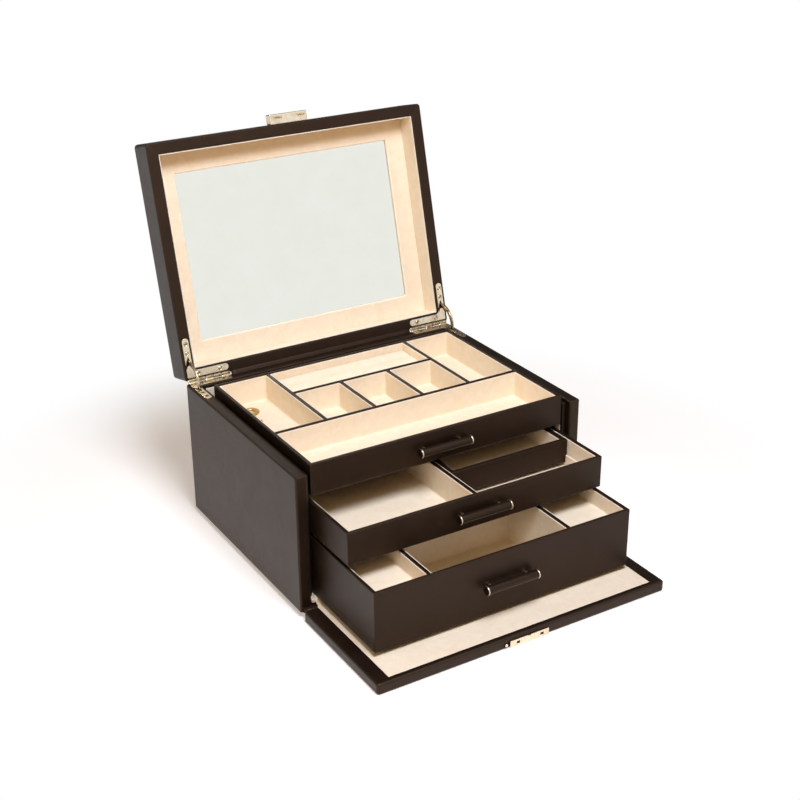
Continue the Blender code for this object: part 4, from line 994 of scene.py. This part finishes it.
def makeHingeSmallParts(look):
    tree = repeatTree("copiesOnPoints", "shadedNickel")
    screw, pitch = screwTemplate(look), knucklePitch(look)
    for member, surface, up, first, place in hingeMembers:
        where = Matrix.Translation(hingeLine) if up > 0 else lidTurn
        knuckle = knuckleTemplate(look, surface, up)
        height = surface + up * (look["proud"] - look["screwSet"])
        screws = [(side * (halfWidth - u), -v, height) for side in (-1, 1) for u, v in look["screws"]]
        middles = [look["barrelStart"] + (i + 0.5) * pitch - look["knuckleGap"] / 2
                   for i in range(first, look["knuckles"], 2)]
        knuckles = [(side * (halfWidth - middle), 0.0, 0.0) for side in (-1, 1) for middle in middles]
        for name, spots, template, flip, twist, seed in (
                ("Screws", screws, screw, 0.0 if up > 0 else math.pi, look["screwTwist"], 3 + first),
                ("Knuckles", knuckles, knuckle, 0.0, 0.0, 0)):
            bm = repeatOn(spots, template, tree, {"Size": 1.0, "Flip": flip, "Twist": twist, "Seed": seed})
            bmesh.ops.transform(bm, matrix=where, verts=bm.verts)
            makePiece(member + name, bm, "shadedNickel", member)
        bpy.data.objects.remove(knuckle)
    bpy.data.objects.remove(screw)
    start, end = look["barrelStart"], look["barrelStart"] + look["barrelLength"]
    profile = ([(radius, start - rise) for radius, rise in look["pinHead"]]
               + [(radius, end + rise) for radius, rise in reversed(look["pinHead"])])
    for side, hand in hands:
        bm = bmesh.new()
        addTurned(bm, profile, lambda a, b, c: onCase(side * (halfWidth - c), a, b), 24)
        makePiece(hand + "HingePin", bm, "nickel", "case", [hand + "_hinge_pin"])


def makeStays(look):
    r0, r1, half, steps = look["inner"], look["outer"], look["half"], look["steps"]
    plan = rounded(rectangle((r0, -half), (r1, half)), [look["edge"]] * 4, 0.0, steps=2)
    section, start, end = [point[:2] for point in plan], look["start"], look["end"]
    angles = [math.radians(start + (end - start) * k / steps) for k in range(steps + 1)]
    for side, hand in hands:
        bm = bmesh.new()
        skin(bm, [[bm.verts.new(onCase(side * legLine + x, -r * math.cos(a), r * math.sin(a)))
                   for r, x in section] for a in angles])
        makePiece(hand + "Stay", bm, "shadedNickel", hand + "_stay", [hand + "_stay"])


# Leather hinge behind the lid and cloth hinge at the root of the flap

lidHingeLook = {
    # paths are (y, z) points; start and end are where the sheet begins and ends
    "path": ((0.0975, 0.1180), (0.0985, 0.1215), (0.1000, 0.1240), (0.1008, 0.1254), (0.1017, 0.1266),
             (0.1030, 0.1280)),
    "halfLength": 0.0910, "thickness": 0.0005, "columns": 40,
    "start": (0, 0.0998, 0.1238), "end": (0, 0.1013, 0.1262),
}
flapLeatherLook = {
    "path": ((-0.0985, 0.0062), (-0.1008, 0.0086), (-0.1030, 0.0094), (-0.1055, 0.0090), (-0.1078, 0.0072),
             (-0.1095, 0.0050)),
    "halfLength": 0.1318, "thickness": 0.0006, "columns": 60,
    "ripple": 0.0002, "rippleRate": 420,      # radians per metre
}
flapHingeLook = {
    "path": ((-0.0960, 0.01355), (-0.1000, 0.01350), (-0.1014, 0.0131), (-0.1021, 0.0120), (-0.1027, 0.0110),
             (-0.1042, 0.0102), (-0.1062, 0.00995), (-0.1080, 0.00985)),
    "thickness": 0.0005, "columns": 220, "border": 0.12, "wrinkle": 0.00035,
    # waves: radians per metre, skew over the sheet's width, start, share of the height
    "waves": ((310, 5, 0.0, 1.0), (730, 0, 1.3, 0.6), (1470, 9, 0.0, 0.5)), "folds": (1300, 7, 0.8),
    "crumple": 0.0011, "crumpleLeft": 0.009, "crumpleRight": 0.006,      # height, and width at each end
    "start": (0, -0.1012, 0.0133), "end": (0, -0.1062, 0.0100),
}


def finishSoft(item, finish):
    item.data.materials.append(finishes[finish])
    item.data.shade_smooth()


def makeSheet(name, finish, look, ends, wrinkle):
    path = smoothPath(look["path"])
    bm = bmesh.new()
    addSheet(bm, path, ends[0], ends[1], look["thickness"], look["columns"], wrinkle)
    item = newObject(name, bm)
    finishSoft(item, finish)
    return item


def makeHingeSheets(back, under, front):
    half = back["halfLength"]
    item = makeSheet("lidHingeStrip", "leather", back, (-half, half), lambda x, share: 0.0)
    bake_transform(item)

    half = under["halfLength"]
    item = makeSheet("flapHingeLeather", "leather", under, (-half, half),
                     lambda x, share: (under["ripple"] * math.sin(x * under["rippleRate"])
                                       * math.sin(math.pi * share)))
    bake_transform(item)

    low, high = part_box("hinge_strip")

    def wrinkle(x, share):
        # none along the two glued borders, a few waves between them, and crumples at either end
        border, (rate, skew, lift) = front["border"], front["folds"]
        loose = math.sin(math.pi * min(max((share - border) / (1 - 2 * border), 0.0), 1.0))
        waves = sum(part * math.sin(x * often + share * slant + begin)
                    for often, slant, begin, part in front["waves"])
        near = (math.exp(-((x - low.x) / front["crumpleLeft"]) ** 2)
                + 0.4 * math.exp(-((x - high.x) / front["crumpleRight"]) ** 2))
        fold = math.sin(x * rate + share * skew) + lift
        return loose * (front["wrinkle"] * (0.4 + 0.3 * waves) + front["crumple"] * near * fold * 0.6)

    item = makeSheet("flapHingeCloth", "suede", front, (low.x, high.x), wrinkle)
    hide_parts("hinge_strip")
    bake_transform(item)


# Ring rolls, foam under suede

ringLook = {"rolls": 3, "gap": 0.0003, "edge": 0.0012, "top": 0.0056, "corner": 0.0016, "shrink": 0.0002,
            "voxel": 0.0011, "pressure": 4.0, "frames": 14, "most": 0.0004, "fill": 0.75}


def puff(item, look, low, high):
    # swells the pad by simulated cloth under pressure, no further than the foam lets it
    remesh = item.modifiers.new("remesh", "REMESH")
    remesh.mode, remesh.voxel_size = "VOXEL", look["voxel"]
    bakeModifiers(item)
    before = [vert.co.copy() for vert in item.data.vertices]
    cloth = item.modifiers.new("cloth", "CLOTH")
    cloth.settings.use_pressure, cloth.settings.uniform_pressure_force = True, look["pressure"]
    cloth.settings.effector_weights.gravity = 0.0
    scene = bpy.context.scene
    for number in range(1, look["frames"] + 1):
        scene.frame_set(number)
    bakeModifiers(item)
    scene.frame_set(1)
    for old, vert in zip(before, item.data.vertices):
        move = vert.co - old
        if move.length > look["most"]:
            move *= look["most"] / move.length
        spot = old + move
        vert.co = [min(max(spot[i], low[i]), high[i]) for i in range(3)]


def makeRingRolls(look):
    low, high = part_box("ring_rolls")
    pitch = (high.y - low.y) / look["rolls"]
    for i in range(look["rolls"]):
        near = Vector((low.x, low.y + i * pitch + look["gap"] / 2, low.z))
        far = Vector((high.x, low.y + (i + 1) * pitch - look["gap"] / 2, high.z))
        inset = Vector((look["shrink"],) * 3)
        bm = bmesh.new()
        addBoard(bm, near + inset, far - inset, look["edge"], look["top"], look["corner"])
        item = newObject("ringRoll" + str(i + 1), bm)
        puff(item, look, near, far)
        smooth = item.modifiers.new("smooth", "SUBSURF")
        smooth.levels = smooth.render_levels = 1
        bakeModifiers(item)
        finishSoft(item, "suede")
        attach(item, "top_tray")
        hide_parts("ring_rolls")


# Handles

handleLook = {"ring": 0.0040, "ringBore": 0.0028, "endWidth": 0.0016, "lip": 0.0003, "cap": 0.0036,
              "capWidth": 0.0006, "capEdge": 0.0003, "capGap": 0.00005, "sleeve": 0.0036, "rows": 12,
              "hem": 0.0004, "seam": 0.00025, "seamWidth": 0.25,      # the last in radians
              "post": 0.0014, "postInset": 0.0075}


def makeHandle(prefix, node, look):
    low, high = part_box(node + "_handle_rod")
    sleeveLow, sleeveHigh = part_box(node + "_handle_sleeve")
    y, z = (sleeveLow.y + sleeveHigh.y) / 2, (sleeveLow.z + sleeveHigh.z) / 2
    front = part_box(node + "_box")[0].y
    r, bore, lip, width = look["ring"], look["ringBore"], look["lip"], look["endWidth"]
    cap, capWidth, edge, gap = look["cap"], look["capWidth"], look["capEdge"], look["capGap"]
    ends = ((low.x, 1), (high.x, -1))

    def onAxis(a, b, x):
        return Vector((x, y + a, z + b))

    def onSleeve(a, b, x):      # the seam stands out at the back
        bulge = 1 + look["seam"] / look["sleeve"] * math.exp(-(math.atan2(b, a) / look["seamWidth"]) ** 2)
        return onAxis(a * bulge, b * bulge, x)

    # metal: a ring at each end, and the posts that carry the bar
    ring = [(bore, width), (bore, capWidth), (r - lip, capWidth), (r - lip * 0.3, capWidth + lip * 0.3),
            (r, capWidth + lip), (r, width - lip), (r - lip * 0.3, width - lip * 0.3), (r - lip, width)]
    bm = bmesh.new()
    for x, way in ends:
        addTurned(bm, [(radius, x + way * along) for radius, along in ring], onAxis, 40, ring=True)
    for x in (low.x + look["postInset"], high.x - look["postInset"]):
        addTurned(bm, [(look["post"], front - least), (look["post"], y)],
                  lambda a, b, c: Vector((x + a, c, z + b)), 24)
    makePiece(prefix + "HandleMetal", bm, "nickel", node, [node + "_handle_rod"])
    # leather sleeve, and the covered ends inside the rings
    start, end, hem, radius, rows = low.x + width, high.x - width, look["hem"], look["sleeve"], look["rows"]
    middle = [(radius, start + hem + (end - start - 2 * hem) * k / rows) for k in range(rows + 1)]
    bm = bmesh.new()
    addTurned(bm, [(bore, start), (radius - hem, start), (radius - hem * 0.3, start + hem * 0.3), *middle,
                   (radius - hem * 0.3, end - hem * 0.3), (radius - hem, end), (bore, end)], onSleeve, 48)
    cover = [(bore - least, width), (bore - least, capWidth - gap), (cap - edge * 0.3, capWidth - gap),
             (cap, capWidth - edge * 0.7), (cap - edge * 0.4, edge * 0.4), (cap - edge, edge * 0.1),
             (cap * 0.6, 0.0), (least, 0.0)]
    for x, way in ends:
        addTurned(bm, [(radius, x + way * along) for radius, along in cover], onAxis)
    makePiece(prefix + "HandleSleeve", bm, "leather", node, [node + "_handle_sleeve"])


# Key

keyLook = {"bow": 0.0070, "band": 0.0038, "drawn": 0.16, "thickness": 0.0016, "edge": 0.0004, "turn": -14.0,
           "neck": 0.0024, "neckLength": 0.0052, "neckEnd": 0.0015, "shank": 0.0012, "shankLength": 0.0180,
           "tip": 0.0003,
           "collar": 0.001178, "collarSpan": (0.0018, 0.0006),      # the second from the neck's end
           "bitLength": 0.0045, "bitWidth": 0.0040, "bitThickness": 0.0008, "bitEdge": 0.00012}


def makeKey(look):
    low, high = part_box("key")
    t, e, bow, band, neck = look["thickness"], look["edge"], look["bow"], look["band"], look["neck"]
    x, y, z = high.x - bow, high.y - bow, low.z
    across, up = math.cos(math.radians(look["turn"])), math.sin(math.radians(look["turn"]))

    def lying(a, b, c):
        return Vector((x + a * across - b * up, y + a * up + b * across, z + c))

    def head(a, b, c):      # the bow is drawn in towards its neck
        return lying(a * (1 - look["drawn"] * min(max(-b / bow, 0.0), 1.0) ** 2), b, c)

    bm = bmesh.new()
    hole = bow - band
    addTurned(bm, [(hole, e), (hole, t - e), (hole + e, t), (bow - e, t), (bow, t - e), (bow, e),
                   (bow - e, 0), (hole + e, 0)], head, 56, ring=True)
    # flat neck that narrows from the bow to the collar
    top, end = -bow + band / 2, -bow - look["neckLength"]
    sides = [(-look["neckEnd"], end), (look["neckEnd"], end), (neck, -bow), (neck * 1.4, top),
             (-neck * 1.4, top), (-neck, -bow)]
    addRounded(bm, sides, [e / 2, e / 2, bow / 2, e / 2, e / 2, bow / 2], least, t - least, e / 2, lying)
    # shank with its collar; both lie on the tray's floor
    r, tip, collar, soft = look["shank"], -bow - look["shankLength"], look["collar"], e
    start, stop = (end - shift for shift in look["collarSpan"])
    addTurned(bm, [(r * 0.6, tip), (r * 0.9, tip + look["tip"]), (r, tip + 2 * soft), (r, start - soft),
                   (collar, start), (collar, stop), (r, stop + soft), (r, top)],
              lambda a, b, c: lying(a, c, r + b), 24)
    # bit with two notches
    right, near, step, notch = r + look["bitWidth"], tip + r, look["bitLength"] / 5, look["bitWidth"] * 0.35
    bit = [(0.0, near)]
    for k, deep in enumerate((0, notch, 0, notch * 0.6, 0)):
        bit += [(right - deep, near + k * step), (right - deep, near + (k + 1) * step)]
    bit.append((0.0, near + 5 * step))
    half, edge = look["bitThickness"] / 2, look["bitEdge"]
    addRounded(bm, bit, [edge] * len(bit), r - half, r + half, edge, lying)
    makePiece("key", bm, "brass", "key", ["key"])


# Lock

lockLook = {"half": 0.0180, "haspNear": -0.2030, "haspFar": -0.2116, "haspHeight": 0.0085, "haspEdge": 0.0007,
            "haspCorner": 0.0008, "slitLength": 0.0056, "slitWidth": 0.0026, "slitDepth": 0.0008,
            "hooks": 0.0111, "hookShift": 0.0004, "hookLine": -0.2085, "hookWidth": 0.0014,
            "hookThickness": 0.0014, "hookLength": 0.0073, "hookTip": 0.0010, "hookEdge": 0.0002,
            "plateEdge": 0.0003, "frontCorner": 0.0016, "bore": 0.0034,
            "step": 0.0005, "stepHalf": 0.0016, "edgeCorner": 0.0004, "stepCorner": 0.00015,
            "slotHalfLength": 0.0015, "slotHalfWidth": 0.0011, "barPlay": 0.0001,
            # dome of the knob and its stem: share of the radius, and depth behind its face
            "knob": ((0.5, 0.00004), (0.82, 0.0002), (0.96, 0.0004), (1.0, 0.0007), (0.92, 0.0012),
                     (0.5, 0.0013))}


def makeHasp(look):
    # a cast box on the lid, with a sunk slit round the root of each hook
    line, length, width = look["hookLine"], look["slitLength"] / 2, look["slitWidth"] / 2
    half, foot, tip = look["hookWidth"] / 2, -look["hookLength"], look["hookTip"]
    root, thick, edge = look["slitDepth"] + cutOver / 2, look["hookThickness"] / 2, look["hookEdge"]
    hasp, hooks, slits = bmesh.new(), bmesh.new(), []
    addBoard(hasp, (-look["half"], look["haspFar"], 0.0),
             (look["half"], look["haspNear"], look["haspHeight"]),
             look["haspEdge"], corner=look["haspCorner"], place=onLid)
    for x in (-look["hooks"], look["hooks"]):
        slits.append(prismCutter(rectangle((x - length, line - width), (x + length, line + width)),
                                 -cutOver / 2, look["slitDepth"], onLid))
        hook = [(x - half, root), (x - half, foot), (x + half, foot), (x + half + tip, foot + tip),
                (x + half + tip, foot + 2 * tip), (x + half, foot + 2 * tip), (x + half, root)]
        addRounded(hooks, hook, [edge] * len(hook), -thick, thick, edge,
                   lambda a, b, c: onLid(a, line + c, b))
    makePiece("lockHasp", hasp, "nickel", "lid", ["lock_hasp"], slits)
    makePiece("lockHooks", hooks, "shadedNickel", "lid", ["lock_hasp"])


def makeLock(look):
    # front plate with a bore round the barrel
    low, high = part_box("lock_front_plate")
    middle = (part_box("lock_barrel")[0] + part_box("lock_barrel")[1]) / 2
    bore = turnedCutter([(look["bore"], low.z - cutOver / 2), (look["bore"], high.z + cutOver / 2)],
                        lambda a, b, c: Vector((middle.x + a, middle.y + b, c)), 40)
    bm = bmesh.new()
    addBoard(bm, low, high, look["plateEdge"], corner=look["frontCorner"])
    makePiece("lockFrontPlate", bm, "nickel", "flap", ["lock_front_plate"], [bore])
    # edge plate with a step in its upper rim and a slot for each hook
    low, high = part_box("lock_edge_plate")
    s, m, level = look["step"], look["stepHalf"], (low.z + high.z) / 2
    plan = [(low.x, low.z), (high.x, low.z), (high.x, high.z), (m, high.z), (m, high.z - s), (-m, high.z - s),
            (-m, high.z), (low.x, high.z)]
    corner, inner, edge = look["edgeCorner"], look["stepCorner"], look["plateEdge"] / 2
    bm = bmesh.new()
    addRounded(bm, plan, [corner] * 3 + [inner] * 4 + [corner], low.y, high.y, edge, onFront)
    length, width = look["slotHalfLength"], look["slotHalfWidth"]
    slots = [prismCutter(rectangle((x - length, level - width), (x + length, level + width)),
                         low.y - cutOver / 2, high.y + cutOver / 2, onFront)
             for x in (way * look["hooks"] + look["hookShift"] for way in (-1, 1))]
    makePiece("lockEdgePlate", bm, "nickel", "flap", ["lock_edge_plate"], slots)
    # domed knob on its stem
    low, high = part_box("release_knob")
    r, z = (high.z - low.z) / 2, (low.z + high.z) / 2
    profile = [(least, 0.0)] + [(r * share, depth) for share, depth in look["knob"]]
    profile.append((profile[-1][0], high.y - low.y))
    bm = bmesh.new()
    addTurned(bm, profile, lambda a, b, c: Vector((low.x + r + a, low.y + c, z + b)))
    makePiece("releaseKnob", bm, "nickel", "lock_bar", ["release_knob"])
    # inside the lock: its case stays as the CAD has it, and the bar runs free of both of the case's ends
    boxPiece("lockBar", "lock_bar", "nickel", "lock_bar", look["plateEdge"] / 2, look["barPlay"])


makeCase(caseLook)
makeLid(lidLook)
makeTray(tierLook)
makeMiddle(tierLook, innerTrayLook)
makeBottom(tierLook)
makeFlap(flapLook)
makeLeaves(hingeLook)
makeHingeSmallParts(hingeLook)
makeStays(stayLook)
print("boards, linings and hinges ready")
makeHingeSheets(lidHingeLook, flapLeatherLook, flapHingeLook)
makeRingRolls(ringLook)
for prefix, node in (("topTray", "top_tray"), ("middleDrawer", "middle_drawer"),
                     ("bottomDrawer", "bottom_drawer")):
    makeHandle(prefix, node, handleLook)
makeKey(keyLook)
makeHasp(lockLook)
makeLock(lockLook)
print("soft pieces, handles, key and lock ready")

# the lock's case and barrel, hidden in the flap, stay as the CAD has them
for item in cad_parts.values():
    if not item.hide_render:
        item.data.materials.clear()
        item.data.materials.append(finishes["nickel"])

low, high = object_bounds()
for title, corners in (("cad", (cadLow, cadHigh)), ("visual", (low, high))):
    print(title, [round(b - a, 4) for a, b in zip(*corners)])
